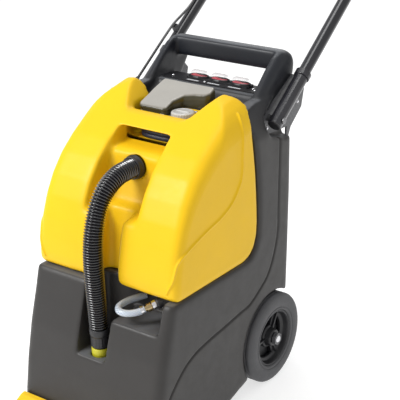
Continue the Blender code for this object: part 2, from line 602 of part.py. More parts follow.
# ---------------------------------------------------------------- wheels
def build_wheels():
    axle = cylinder(AXLE_R, (-AXLE_END_X, WHEEL_Y, WHEEL_R), (AXLE_END_X, WHEEL_Y, WHEEL_R), 32, 0.001)
    add_object("axle", axle, BRIGHT_STEEL)
    half = TYRE_WIDTH / 2
    tyre_profile = [(0.0640, -0.019), (0.0820, -half), (0.0970, -0.0205), (WHEEL_R, -0.0145),
                    (WHEEL_R, 0.0145), (0.0970, 0.0205), (0.0820, half), (0.0640, 0.019)]
    hub_profile = [(AXLE_R + 0.0001, -0.0290), (0.0190, -0.0290), (0.0190, -0.0050), (0.0550, -0.0080),
                   (0.0580, -0.0185), (0.0637, -0.0185), (0.0637, 0.0185), (0.0580, 0.0185), (0.0540, 0.0040),
                   (0.0220, 0.0020), (0.0180, 0.0190), (AXLE_R + 0.0001, 0.0190)]
    for side, sign in (("left", -1), ("right", 1)):
        center = sign * (WHEEL_OUTER_X - half)
        spin = pivot("wheel_axis_" + side, center, WHEEL_Y, WHEEL_R)
        direction = (sign, 0, 0)
        add_object("tyre_" + side, lathe(tyre_profile, 40, (0, 0, 0), direction), TYRE_GREY, spin)
        add_object("wheel_hub_" + side, lathe(hub_profile, 32, (0, 0, 0), direction), PANEL_BLACK, spin)
        nut = ring(0.0145, (AXLE_R + GAP) / math.cos(math.pi / 6),
                   (sign * (WHEEL_OUTER_X - 0.0022), WHEEL_Y, WHEEL_R),
                   (sign * (AXLE_END_X - 0.001), WHEEL_Y, WHEEL_R), 6)
        add_object("axle_nut_" + side, nut, TUBE_BLACK, smooth_angle=10.0)


# ---------------------------------------------------------------- pull handle
def build_handle():
    fold = pivot("fold_axis", 0.0, *on_handle(0.0, PIVOT_AT).yz)
    back = Matrix.Translation(-fold.location)

    def add_on_handle(name, bm, mat):
        bm.transform(back)
        return add_object(name, bm, mat, fold)

    bend = 0.055
    points = []
    left_leg = [on_handle(-HANDLE_X, s) for s in (SLEEVE_LENGTH - 0.070, 0.35, HANDLE_REACH - bend)]
    points += left_leg
    for sign in (-1, 1):
        arc = []
        for k in range(1, 8):
            a = math.radians(90 * k / 8)
            x = HANDLE_X - bend + bend * math.cos(a)
            arc.append(on_handle(sign * x, HANDLE_REACH - bend + bend * math.sin(a)))
        if sign < 0:
            points += arc + [on_handle(-HANDLE_X + bend, HANDLE_REACH)]
        else:
            points += [on_handle(HANDLE_X - bend, HANDLE_REACH)] + list(reversed(arc))
    points += [on_handle(HANDLE_X, s) for s in (HANDLE_REACH - bend, 0.35, SLEEVE_LENGTH - 0.070)]
    tube("handle_tube", [p - fold.location for p in points], TUBE_R, TUBE_BLACK, fold, resolution=3)

    grip = ring(CROSSBAR_GRIP_R, TUBE_R + 0.0004, on_handle(-0.105, HANDLE_REACH),
                on_handle(0.105, HANDLE_REACH), 20)
    add_on_handle("crossbar_grip", grip, RUBBER)

    for side, sign in (("left", -1), ("right", 1)):
        x = sign * HANDLE_X
        sleeve = lathe([(0, 0), (SLEEVE_R - 0.001, 0), (SLEEVE_R, 0.001), (SLEEVE_R, SLEEVE_LENGTH),
                        (TUBE_R + 0.0004, SLEEVE_LENGTH), (TUBE_R + 0.0004, SLEEVE_LENGTH - 0.0704),
                        (0, SLEEVE_LENGTH - 0.0704)], 24, on_handle(x, 0.0), HANDLE_DIR)
        sleeve = add_on_handle("handle_sleeve_" + side, sleeve, TUBE_BLACK)
        bore = cylinder(PIVOT_R + 0.0001, (x - 0.02, 0, 0), (x + 0.02, 0, 0), 24)
        carve(sleeve, add_object("tool_pivot_bore_" + side, bore, TUBE_BLACK, fold))
        collar = lathe([(TUBE_R + 0.0004, 0), (0.0168, 0), (0.0173, 0.001), (0.0173, 0.013),
                        (0.0148, 0.015), (TUBE_R + 0.0004, 0.015)], 24,
                       on_handle(x, SLEEVE_LENGTH + GAP), HANDLE_DIR)
        add_on_handle("tube_collar_" + side, collar, TUBE_BLACK)
        inner, outer = sorted((sign * 0.1503, sign * 0.1543))
        plate_outline = [(0.3215, 0.600), (0.3260, 0.576), (0.345, 0.5655), (0.388, 0.5635), (0.4200, 0.5640),
                         (0.4200, 0.5380), (0.4270, 0.5380), (0.4370, 0.5590), (0.4790, 0.5940),
                         (0.4880, 0.6320), (0.456, 0.664), (0.440, 0.672), (0.3260, 0.6060)]
        add_object("handle_bracket_" + side, prism(plate_outline, inner, outer), TUBE_BLACK)
        shoulder = HANDLE_X - SLEEVE_R - GAP - 0.1546
        shank = shoulder + 2 * (SLEEVE_R + GAP)
        bolt = [(0, 0), (0.0070, 0), (0.0070, shoulder), (PIVOT_R, shoulder), (PIVOT_R, shank),
                (0.0068, shank), (0.0068, shank + 0.0018), (0.0055, shank + 0.0025), (0, shank + 0.0025)]
        bolt = lathe(bolt, 24, (sign * 0.1546, *fold.location.yz), (sign, 0, 0))
        add_object("pivot_bolt_" + side, bolt, BRIGHT_STEEL)
        lock = on_handle(0.0, 0.116, -0.020)
        start = Vector((sign * 0.1546, lock.y, lock.z))
        pin = cylinder(0.0052, start, Vector((sign * 0.1596, lock.y, lock.z)), 16, 0.001)
        add_object("lock_pin_" + side, pin, BRIGHT_STEEL)

    route = [on_handle(-HANDLE_X, 0.030, 0.0365), on_handle(-HANDLE_X, 0.085, 0.0358),
             on_handle(-HANDLE_X, 0.140, 0.0350), on_handle(-HANDLE_X, 0.190, 0.0325),
             on_handle(-HANDLE_X, 0.225, 0.0250), on_handle(-HANDLE_X, 0.260, 0.0185),
             on_handle(-HANDLE_X, 0.320, 0.0166), on_handle(-HANDLE_X, 0.420, 0.0166),
             on_handle(-HANDLE_X, 0.510, 0.0168), on_handle(-0.171, 0.560, 0.0170),
             on_handle(-0.160, 0.593, 0.0150), on_handle(-0.1535, 0.6035, 0.0134)]
    cable = [p - fold.location for p in smooth_route(route, 0.014)]
    tube("control_cable", cable, 0.0026, HOSE_BLACK, fold, resolution=1)
    boot = lathe([(0, 0), (0.0052, 0), (0.0052, 0.010), (0.0034, 0.016), (0, 0.016)], 14,
                 on_handle(-HANDLE_X, 0.0135, 0.0367), HANDLE_DIR)
    add_on_handle("cable_boot", boot, RUBBER)
    strap = prism([(-0.0065, 0.0134), (0.0065, 0.0134), (0.0055, 0.0276), (-0.0055, 0.0280)], -0.005, 0.005)
    strap.transform(handle_frame(-HANDLE_X, 0.190))
    add_on_handle("cable_clip", strap, RUBBER)

    clamp = ring(0.0160, TUBE_R + 0.0004, on_handle(TRIGGER_X - 0.006, HANDLE_REACH),
                 on_handle(TRIGGER_X + 0.006, HANDLE_REACH), 20)
    clamp = add_on_handle("trigger_clamp", clamp, PANEL_BLACK)
    tab = box((-0.0060, -0.0060, -0.0095), (0.0060, 0.0162, -0.0065))
    tab.transform(back @ handle_frame(TRIGGER_X, TRIGGER_ALONG))
    pin = cylinder(0.0020, (0, 0, -0.0080), (0, 0, 0.0065), 24)
    pin.transform(back @ handle_frame(TRIGGER_X, TRIGGER_ALONG))
    for name, bm in (("trigger_tab", tab), ("trigger_pin", pin)):
        carve(clamp, add_object("tool_" + name, bm, PANEL_BLACK, fold), "UNION")


def build_trigger():
    axis = pivot("trigger_axis", *on_handle(TRIGGER_X, TRIGGER_ALONG))
    outline = [(-0.008, -0.006), (0.004, -0.008), (0.090, -0.030), (0.097, -0.025), (0.092, -0.019),
               (0.012, 0.004), (0.004, 0.012), (-0.004, 0.012), (-0.008, 0.006)]
    turned = handle_frame(0.0, 0.0).to_3x3().to_4x4()
    lever = prism(outline, -0.006, 0.006, "Z")
    lever.transform(turned)
    hole = cylinder(0.0021, (0, 0, -0.01), (0, 0, 0.01), 24)
    hole.transform(turned)
    lever = add_object("spray_trigger", lever, PANEL_BLACK, axis)
    carve(lever, add_object("tool_trigger_hole", hole, PANEL_BLACK, axis))


# ---------------------------------------------------------------- brush, suction and pump
def build_brush():
    shoe = [(SHOE_FRONT_Y, 0.000, 0.004), (SHOE_FRONT_Y, 0.010, 0.004), (-0.1180, 0.0260, 0.006),
            (-0.1000, 0.0430, 0.008), (-0.0830, 0.0520, 0.008), (-0.0730, 0.0530, 0.006),
            (-0.0694, 0.0480, 0.003), (-0.0694, 0.0, 0.003)]
    shoe_obj = add_object("vacuum_shoe", rounded_slab(shoe, 0.1720, 3), TANK_YELLOW)
    slit = prism([(-0.1120, -0.02), (-0.1040, 0.010), (-0.0900, 0.0420), (-0.0820, 0.0420), (-0.0820, 0.0200),
                  (-0.0985, 0.0060), (-0.1030, -0.02)], -0.150, 0.150)
    outlet = box((-0.026, -0.0950, 0.0220), (0.026, -0.0500, 0.0400))
    carve_each(shoe_obj, {"shoe_slit": slit, "shoe_outlet": outlet})

    duct_outer = [(-0.0690, 0.0195), (-0.0690, 0.0425), (-0.0530, 0.0425), (-0.0460, 0.0600),
                  (-0.0370, 0.1585), (-0.0020, 0.1585), (-0.0150, 0.0600), (-0.0300, 0.0195)]
    duct_inner = [(-0.0800, 0.0220), (-0.0800, 0.0400), (-0.0510, 0.0400), (-0.0430, 0.0600),
                  (-0.0340, 0.1700), (-0.0045, 0.1700), (-0.0180, 0.0600), (-0.0320, 0.0220)]
    duct = add_object("shoe_duct", prism(duct_outer, -0.0280, 0.0280), HOUSING_BLACK)
    carve_each(duct, {"duct_bore": prism(duct_inner, -0.0255, 0.0255)})

    spin = pivot("brush_axis", 0.0, BRUSH_Y, BRUSH_Z)
    core = lathe([(0, -0.1740), (0.0060, -0.1740), (0.0060, -0.1370), (0.0160, -0.1370), (0.0160, 0.1450),
                  (0.0060, 0.1450), (0.0060, 0.1740), (0, 0.1740)], 24, (0, 0, 0), (1, 0, 0))
    add_object("brush_core", core, MOTOR_GREY, spin)
    bristles = lathe([(0.0163, -0.1340), (BRUSH_R, -0.1340), (BRUSH_R, 0.1420), (0.0163, 0.1420)], 36,
                     (0, 0, 0), (1, 0, 0))
    add_object("brush_bristles", bristles, BRISTLE_BLUE, spin)
    grooved = [(0.0063, -0.006), (0.0190, -0.006), (0.0190, -0.005), (0.0155, -0.004), (0.0155, 0.004),
               (0.0190, 0.005), (0.0190, 0.006), (0.0063, 0.006)]
    pulley = lathe(grooved, 24, (PULLEY_X, 0, 0), (1, 0, 0))
    add_object("brush_pulley", pulley, PANEL_BLACK, spin)
    drive = pivot("motor_axis", 0.0, MOTOR_Y, MOTOR_Z)
    small = [(0, -0.008), (0.0040, -0.008), (0.0040, -0.006), (0.0130, -0.006), (0.0130, -0.005),
             (0.0095, -0.004), (0.0095, 0.004), (0.0130, 0.005), (0.0130, 0.006), (0.0040, 0.006),
             (0.0040, 0.0472), (0, 0.0472)]
    add_object("motor_pulley", lathe(small, 20, (PULLEY_X, 0, 0), (1, 0, 0)), PANEL_BLACK, drive)
    motor = lathe([(0, 0), (0.0300, 0), (0.0360, 0.006), (0.0360, 0.110), (0.0300, 0.118), (0, 0.118)], 28,
                  (-0.1000, MOTOR_Y, MOTOR_Z), (1, 0, 0))
    add_object("brush_motor", motor, MOTOR_GREY)
    add_object("drive_belt", belt_band(0.0159, 0.0099, 0.0016), RUBBER)

    bar = add_object("spray_bar", cylinder(0.0065, (-0.1250, 0.1000, 0.0440), (0.1250, 0.1000, 0.0440), 16),
                     HOUSING_BLACK)
    for i, x in enumerate((-0.075, 0.075)):
        nozzle = cylinder(0.0055, (x, 0.1000, 0.0440), (x, 0.0960, 0.0200), 12, 0.001)
        carve_each(bar, {f"nozzle_{i + 1}": nozzle}, "UNION")


def belt_band(big, small, thickness):
    """A flat belt around the brush pulley and the motor pulley, in the plane of the pulleys."""
    first, second = Vector((BRUSH_Y, BRUSH_Z)), Vector((MOTOR_Y, MOTOR_Z))
    span = (second - first).length
    heading = math.atan2(second.y - first.y, second.x - first.x)
    lean = math.acos((big - small) / span)

    def loop(extra):
        points = []
        for center, r, start, stop in ((first, big, heading + lean, heading + 2 * math.pi - lean),
                                       (second, small, heading - lean, heading + lean)):
            for k in range(11):
                a = start + (stop - start) * k / 10
                points.append(center + Vector((math.cos(a), math.sin(a))) * (r + extra))
        return points
    rings = []
    for extra, x in ((0, -0.0034), (thickness, -0.0034), (thickness, 0.0034), (0, 0.0034)):
        rings.append([(PULLEY_X + x, p.x, p.y) for p in loop(extra)])
    return skin(rings, capped=False)


def build_suction():
    fan_axis = pivot("fan_axis", 0.0, 0.3040, 0.2600)
    motor = lathe([(0, 0), (0.0300, 0), (0.0420, 0.006), (0.0420, 0.036), (0.0640, 0.040), (0.0640, 0.058),
                   (0.0600, 0.058), (0.0600, 0.0440), (0, 0.0440)], 32, (0.0, 0.3040, 0.2160))
    add_object("vacuum_motor", motor, MOTOR_GREY)
    blades = lathe([(0, 0.0010), (0.0540, 0.0010), (0.0540, 0.0125), (0.0200, 0.0125), (0.0180, 0.0160),
                    (0, 0.0160)], 28, (0, 0, 0))
    add_object("vacuum_fan", blades, MOTOR_GREY, fan_axis)
    pump = box((-0.0500, 0.2450, 0.1250), (0.0600, 0.3200, 0.1950), 0.008)
    add_object("pump", pump, MOTOR_GREY)


build_housing()
build_covers()
build_switches()
build_tank()
build_lid()
build_hoses()
build_wheels()
build_handle()
build_trigger()
build_brush()
build_suction()
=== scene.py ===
"""Visual model of the spot extractor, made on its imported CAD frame."""

import math

import bmesh
import bpy
import numpy as np
from mathutils import Matrix, Vector
from mathutils.bvhtree import BVHTree


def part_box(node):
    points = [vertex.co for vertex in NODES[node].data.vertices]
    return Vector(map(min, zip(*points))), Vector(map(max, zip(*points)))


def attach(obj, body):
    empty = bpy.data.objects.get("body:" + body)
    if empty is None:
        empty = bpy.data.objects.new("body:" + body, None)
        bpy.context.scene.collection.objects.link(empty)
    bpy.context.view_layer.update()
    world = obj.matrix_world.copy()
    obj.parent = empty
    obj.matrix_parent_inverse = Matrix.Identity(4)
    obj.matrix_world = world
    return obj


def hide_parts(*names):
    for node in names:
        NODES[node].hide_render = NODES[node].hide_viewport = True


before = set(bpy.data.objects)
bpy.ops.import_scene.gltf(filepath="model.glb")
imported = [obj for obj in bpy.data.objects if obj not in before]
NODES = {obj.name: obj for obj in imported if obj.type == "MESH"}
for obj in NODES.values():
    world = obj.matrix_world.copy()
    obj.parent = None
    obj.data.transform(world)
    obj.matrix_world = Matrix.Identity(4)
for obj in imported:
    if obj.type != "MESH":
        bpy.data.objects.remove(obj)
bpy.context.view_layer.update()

SHIFT = Vector((0.0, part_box("vacuum_shoe")[0].y + 0.125, 0.0))   # from the design's own y to the frame's
SCENE = bpy.context.scene

# Sizes in metres, in the design's own coordinates: x to the right, y to the rear, z up.
SIDE_X = 0.176                       # the flat sides of the tank and the body
HANDLE_PIVOT = (0.336, 0.590)        # y, z of the handle's lower end
HANDLE_ANGLE = math.radians(37.5)
HANDLE_DIR = Vector((0.0, math.cos(HANDLE_ANGLE), math.sin(HANDLE_ANGLE)))
HANDLE_UP = Vector((0.0, -math.sin(HANDLE_ANGLE), math.cos(HANDLE_ANGLE)))
HANDLE_X = 0.175                     # the two legs, from the middle
HANDLE_REACH = 0.630                 # the crossbar, along the handle
HANDLE_BEND = 0.055
HANDLE_TUBE_R = 0.0129
TUBE_START = 0.058                   # where a leg comes out of its sleeve
SWITCHES = [0.0095 + k * 0.0530 for k in (-1, 0, 1)]
SWITCH_Y = 0.3815
PANEL_Z = 0.6455
CAP_CENTER = (0.0325, 0.2185)
HOSE_PORT = (0.0, 0.1030, 0.5335)    # the flange on the tank
HOSE_SEAT = (0.0, -0.0195, 0.1600)   # the foot of the collar in the body
RIB_PITCH = 0.0054
WHEEL_CENTER = (0.349, 0.1016)       # y, z of the axle
WHEEL_FACE = 0.186                   # x of a tyre's outer face
TYRE_HALF = 0.023                    # half a tyre's width
BRUSH_CENTER = (0.035, 0.0346)       # y, z of the roller brush
BRUSH_CORE_R = 0.0160
REAR_Y = 0.4186                      # the outer face of the rear cover


# ---------------------------------------------------------------- camera and light
CAMERA_PLACE = Vector((1.288, -1.486, 1.261))
CAMERA_LENS = 99.0
CAMERA_AZIMUTH = math.radians(35.45)
CAMERA_PITCH = math.radians(21.35)


def add_camera():
    camera = bpy.data.cameras.new("camera")
    camera.lens = CAMERA_LENS
    camera.sensor_width = 36.0
    camera.clip_start = 0.05
    holder = bpy.data.objects.new("camera", camera)
    SCENE.collection.objects.link(holder)
    level = math.cos(CAMERA_PITCH)
    ahead = Vector((-math.sin(CAMERA_AZIMUTH) * level, math.cos(CAMERA_AZIMUTH) * level,
                    -math.sin(CAMERA_PITCH)))
    right = Vector((math.cos(CAMERA_AZIMUTH), math.sin(CAMERA_AZIMUTH), 0.0))
    up = right.cross(ahead)
    place = CAMERA_PLACE + SHIFT
    holder.matrix_world = Matrix((
        (right.x, up.x, -ahead.x, place.x), (right.y, up.y, -ahead.y, place.y),
        (right.z, up.z, -ahead.z, place.z), (0, 0, 0, 1)))
    SCENE.camera = holder


def add_light(name, place, aim, size, power, color=(1, 1, 1)):
    light = bpy.data.lights.new(name, "AREA")
    light.shape = "RECTANGLE"
    light.size, light.size_y = size
    light.energy = power
    light.color = color
    holder = bpy.data.objects.new(name, light)
    SCENE.collection.objects.link(holder)
    holder.location = place
    holder.rotation_euler = (Vector(aim) - Vector(place)).to_track_quat("-Z", "Y").to_euler()


def add_studio():
    add_light("key", (-1.3, -2.3, 2.3), (0, -0.1, 0.35), (1.1, 1.3), 80)
    add_light("fill", (2.9, -0.4, 1.5), (0, 0, 0.35), (1.4, 2.0), 1, (1.0, 0.94, 0.86))
    add_light("top", (-0.2, 0.2, 2.9), (0, 0, 0.5), (0.7, 1.8), 16)
    add_light("back", (-0.8, 2.6, 1.9), (0, 0, 0.5), (1.6, 1.2), 6)
    world = bpy.data.worlds.new("studio")
    world.use_nodes = True
    background = world.node_tree.nodes["Background"]
    background.inputs["Color"].default_value = (1.0, 1.0, 1.0, 1.0)
    background.inputs["Strength"].default_value = 0.66
    SCENE.world = world
    SCENE.view_settings.view_transform = "Standard"


# ---------------------------------------------------------------- materials
def rgb(color, by=1.0):
    return (*[min(c * by, 1.0) for c in color], 1.0)


class Shader:
    """A principled material with a few noise helpers in object space, where one unit is a metre."""

    def __init__(self, name):
        self.material = bpy.data.materials.new(name)
        self.material.use_nodes = True
        self.tree = self.material.node_tree
        self.bsdf = self.tree.nodes["Principled BSDF"]
        self.coord = self.tree.nodes.new("ShaderNodeTexCoord")

    def node(self, kind, **links):
        made = self.tree.nodes.new(kind)
        for key, value in links.items():
            self.put(made.inputs[key], value)
        return made

    def put(self, socket, value):
        if isinstance(value, bpy.types.NodeSocket):
            self.tree.links.new(value, socket)
        else:
            socket.default_value = value

    def stretched(self, scale):
        mapping = self.node("ShaderNodeMapping", Vector=self.coord.outputs["Object"])
        mapping.inputs["Scale"].default_value = scale
        return mapping.outputs["Vector"]

    def noise(self, scale, detail=3.0, rough=0.55, vector=None):
        return self.node("ShaderNodeTexNoise", Vector=vector or self.coord.outputs["Object"], Scale=scale,
                         Detail=detail, Roughness=rough).outputs["Fac"]

    def span(self, value, low, high, to_low, to_high):
        made = self.node("ShaderNodeMapRange", Value=value)
        for key, number in (("From Min", low), ("From Max", high), ("To Min", to_low), ("To Max", to_high)):
            made.inputs[key].default_value = number
        return made.outputs["Result"]

    def math(self, operation, a, b):
        made = self.tree.nodes.new("ShaderNodeMath")
        made.operation = operation
        self.put(made.inputs[0], a)
        self.put(made.inputs[1], b)
        return made.outputs[0]

    def mix(self, factor, a, b):
        made = self.tree.nodes.new("ShaderNodeMix")
        made.data_type = "RGBA"
        self.put(made.inputs[0], factor)
        self.put(made.inputs[6], a)
        self.put(made.inputs[7], b)
        return made.outputs[2]

    def bump(self, height, strength, distance):
        made = self.node("ShaderNodeBump", Height=height, Strength=strength, Distance=distance)
        return made.outputs["Normal"]

    def height(self):
        return self.node("ShaderNodeSeparateXYZ", Vector=self.coord.outputs["Object"]).outputs["Z"]

    def upward(self):
        normal = self.node("ShaderNodeNewGeometry").outputs["Normal"]
        return self.node("ShaderNodeSeparateXYZ", Vector=normal).outputs["Z"]


# Painted light: the pale grey mixed into faces that look up, standing for light falling from above.
TOP_LIGHT_GREY = (0.25, 0.26, 0.28, 1.0)


def finish(name, color, rough, mottle, grain, grain_scale, rough_vary=0.06, edge_wear_and_sheen=0.0, edge_wear_and_sheen_color=None,
           metallic=0.0, specular=0.5, coat=0.0, swell=0.0, painted_top_light=0.0, brushed=None, painted_upper_tone=None):
    """Moulded plastic, rubber or metal: a mottled tone, fine grain, uneven sheen and paler edges, which are
    edge wear, and on the hose's rib crests a painted sheen. swell is a slow waviness, the top-light weight
    lightens faces that look up as painted light from above, brushed stretches the grain along one axis, and
    the upper tone is a darker, bluish painted shade and painted reflection high on the machine."""
    s = Shader(name)
    broad = s.noise(11.0, 4.0)
    fine = s.noise(260.0, 3.0, 0.6)
    tone = s.mix(s.span(broad, 0.3, 0.7, 0.0, 1.0), rgb(color, 1 - mottle), rgb(color, 1 + mottle))
    tone = s.mix(s.span(fine, 0.35, 0.75, 0.0, 0.35), tone, rgb(color, 1 + 2.2 * mottle))
    # Painted shade and painted reflection: a darker, bluish tone mixed in from a height of 0.56 to 0.68, high
    # on the housing.
    if painted_upper_tone:
        tone = s.mix(s.span(s.height(), 0.56, 0.68, 0.0, 1.0), tone, rgb(painted_upper_tone))
    # Painted light: faces that look up are lightened, patchily, towards that pale grey, standing for light
    # from above.
    if painted_top_light:
        lit_top_mask = s.math("MULTIPLY", s.span(s.upward(), 0.80, 1.0, 0.0, painted_top_light),
                         s.span(broad, 0.35, 0.65, 0.5, 1.0))
        tone = s.mix(lit_top_mask, tone, TOP_LIGHT_GREY)
    # Paler edges by pointiness: edge wear on most parts, and on the hose a painted sheen on the rib crests.
    if edge_wear_and_sheen:
        edge = s.node("ShaderNodeNewGeometry").outputs["Pointiness"]
        wear_and_sheen_mask = s.math("MULTIPLY", s.span(edge, 0.515, 0.60, 0.0, edge_wear_and_sheen),
                        s.span(fine, 0.35, 0.6, 0.55, 1.0))
        tone = s.mix(wear_and_sheen_mask, tone, rgb(edge_wear_and_sheen_color or color, 1.0 if edge_wear_and_sheen_color else 1.8))
    s.put(s.bsdf.inputs["Base Color"], tone)
    uneven = s.noise(34.0, 5.0, 0.62)
    low_rough = max(rough - rough_vary, 0.03)
    s.put(s.bsdf.inputs["Roughness"], s.span(uneven, 0.3, 0.7, low_rough, rough + rough_vary))
    s.bsdf.inputs["Metallic"].default_value = metallic
    s.bsdf.inputs["Specular IOR Level"].default_value = specular
    if coat:
        s.bsdf.inputs["Coat Weight"].default_value = coat
        s.bsdf.inputs["Coat Roughness"].default_value = 0.12
    if brushed:
        lines = s.noise(1.0, 2.0, 0.6, s.stretched(brushed))
        normal = s.bump(lines, grain, 0.00004)
    else:
        normal = s.bump(s.noise(grain_scale, 2.0, 0.6), grain, 0.00025)
    if swell:
        waves = s.node("ShaderNodeBump", Height=s.noise(42.0, 2.0, 0.5), Strength=swell, Distance=0.0012,
                       Normal=normal)
        normal = waves.outputs["Normal"]
    s.put(s.bsdf.inputs["Normal"], normal)
    return s.material


def lid_finish():
    """Smoked plastic: a pale top, painted light from above, over darker, glossy olive sides, painted shade.
    """
    s = Shader("lid_smoke")
    cloud = s.noise(24.0, 4.0)
    top = s.mix(cloud, (0.305, 0.293, 0.268, 1), (0.355, 0.341, 0.312, 1))
    side = s.mix(cloud, (0.030, 0.027, 0.012, 1), (0.062, 0.056, 0.032, 1))
    # Painted light and shade: faces that look up take the pale top tone, and faces that look sideways take
    # the dark olive side tone.
    s.put(s.bsdf.inputs["Base Color"], s.mix(s.span(s.upward(), 0.45, 0.9, 0.0, 1.0), side, top))
    s.put(s.bsdf.inputs["Roughness"], s.span(s.noise(60.0, 4.0), 0.3, 0.7, 0.16, 0.27))
    s.bsdf.inputs["Specular IOR Level"].default_value = 0.35
    s.bsdf.inputs["Coat Weight"].default_value = 0.1
    s.bsdf.inputs["Coat Roughness"].default_value = 0.12
    s.put(s.bsdf.inputs["Normal"], s.bump(s.noise(600.0, 2.0), 0.12, 0.0002))
    return s.material


BRAID_STRANDS = 8
BRAID_TURNS = 190                    # for each metre of hose


def braided_finish():
    """Clear vinyl over a net of white braid; the net runs along the tube's own coordinates."""
    s = Shader("clear_vinyl")
    parts = s.node("ShaderNodeSeparateXYZ", Vector=s.coord.outputs["UV"])
    around = s.math("MULTIPLY", parts.outputs["X"], 2 * math.pi * BRAID_STRANDS)
    along = s.math("MULTIPLY", parts.outputs["Y"], 2 * math.pi * BRAID_TURNS)
    one = s.math("SINE", s.math("ADD", around, along), 0)
    two = s.math("SINE", s.math("SUBTRACT", along, around), 0)
    net = s.span(s.math("MAXIMUM", one, two), 0.72, 0.97, 0.0, 1.0)
    clear = s.mix(s.noise(60.0), (0.26, 0.31, 0.38, 1), (0.38, 0.43, 0.50, 1))
    s.put(s.bsdf.inputs["Base Color"], s.mix(net, clear, (0.72, 0.77, 0.84, 1)))
    s.put(s.bsdf.inputs["Roughness"], s.span(s.noise(90.0), 0.3, 0.7, 0.12, 0.24))
    s.bsdf.inputs["Coat Weight"].default_value = 0.6
    s.bsdf.inputs["Coat Roughness"].default_value = 0.05
    s.bsdf.inputs["Subsurface Weight"].default_value = 0.25
    s.bsdf.inputs["Subsurface Radius"].default_value = (0.004, 0.004, 0.005)
    s.put(s.bsdf.inputs["Normal"], s.bump(net, 0.35, 0.0003))
    return s.material


def film_finish():
    """Thin clear switch boots: see-through walls and a milky crown, whose opacity rising towards the top is a
    painted sheen.
    """
    s = Shader("boot_film")
    milky = s.mix(s.noise(140.0), (0.36, 0.34, 0.35, 1), (0.50, 0.49, 0.49, 1))
    s.put(s.bsdf.inputs["Base Color"], milky)
    s.put(s.bsdf.inputs["Roughness"], s.span(s.noise(220.0), 0.3, 0.7, 0.10, 0.20))
    # Painted sheen: the film is nearly clear low down and grows more opaque towards the crown, so its
    # grey-white shows there.
    s.put(s.bsdf.inputs["Alpha"], s.span(s.height(), PANEL_Z + 0.0105, PANEL_Z + 0.0165, 0.05, 0.40))
    s.put(s.bsdf.inputs["Normal"], s.bump(s.noise(320.0, 2.0), 0.2, 0.0003))
    return s.material


def floor_finish():
    """A floor that glows enough to stay white, and still takes a faint shadow."""
    s = Shader("studio_floor")
    pale = s.mix(s.noise(3.0), (0.52, 0.52, 0.52, 1), (0.54, 0.54, 0.54, 1))
    s.put(s.bsdf.inputs["Base Color"], pale)
    s.bsdf.inputs["Roughness"].default_value = 0.9
    s.bsdf.inputs["Specular IOR Level"].default_value = 0.1
    s.bsdf.inputs["Emission Color"].default_value = (1, 1, 1, 1)
    s.bsdf.inputs["Emission Strength"].default_value = 0.66
    s.put(s.bsdf.inputs["Normal"], s.bump(s.noise(80.0), 0.05, 0.0005))
    return s.material


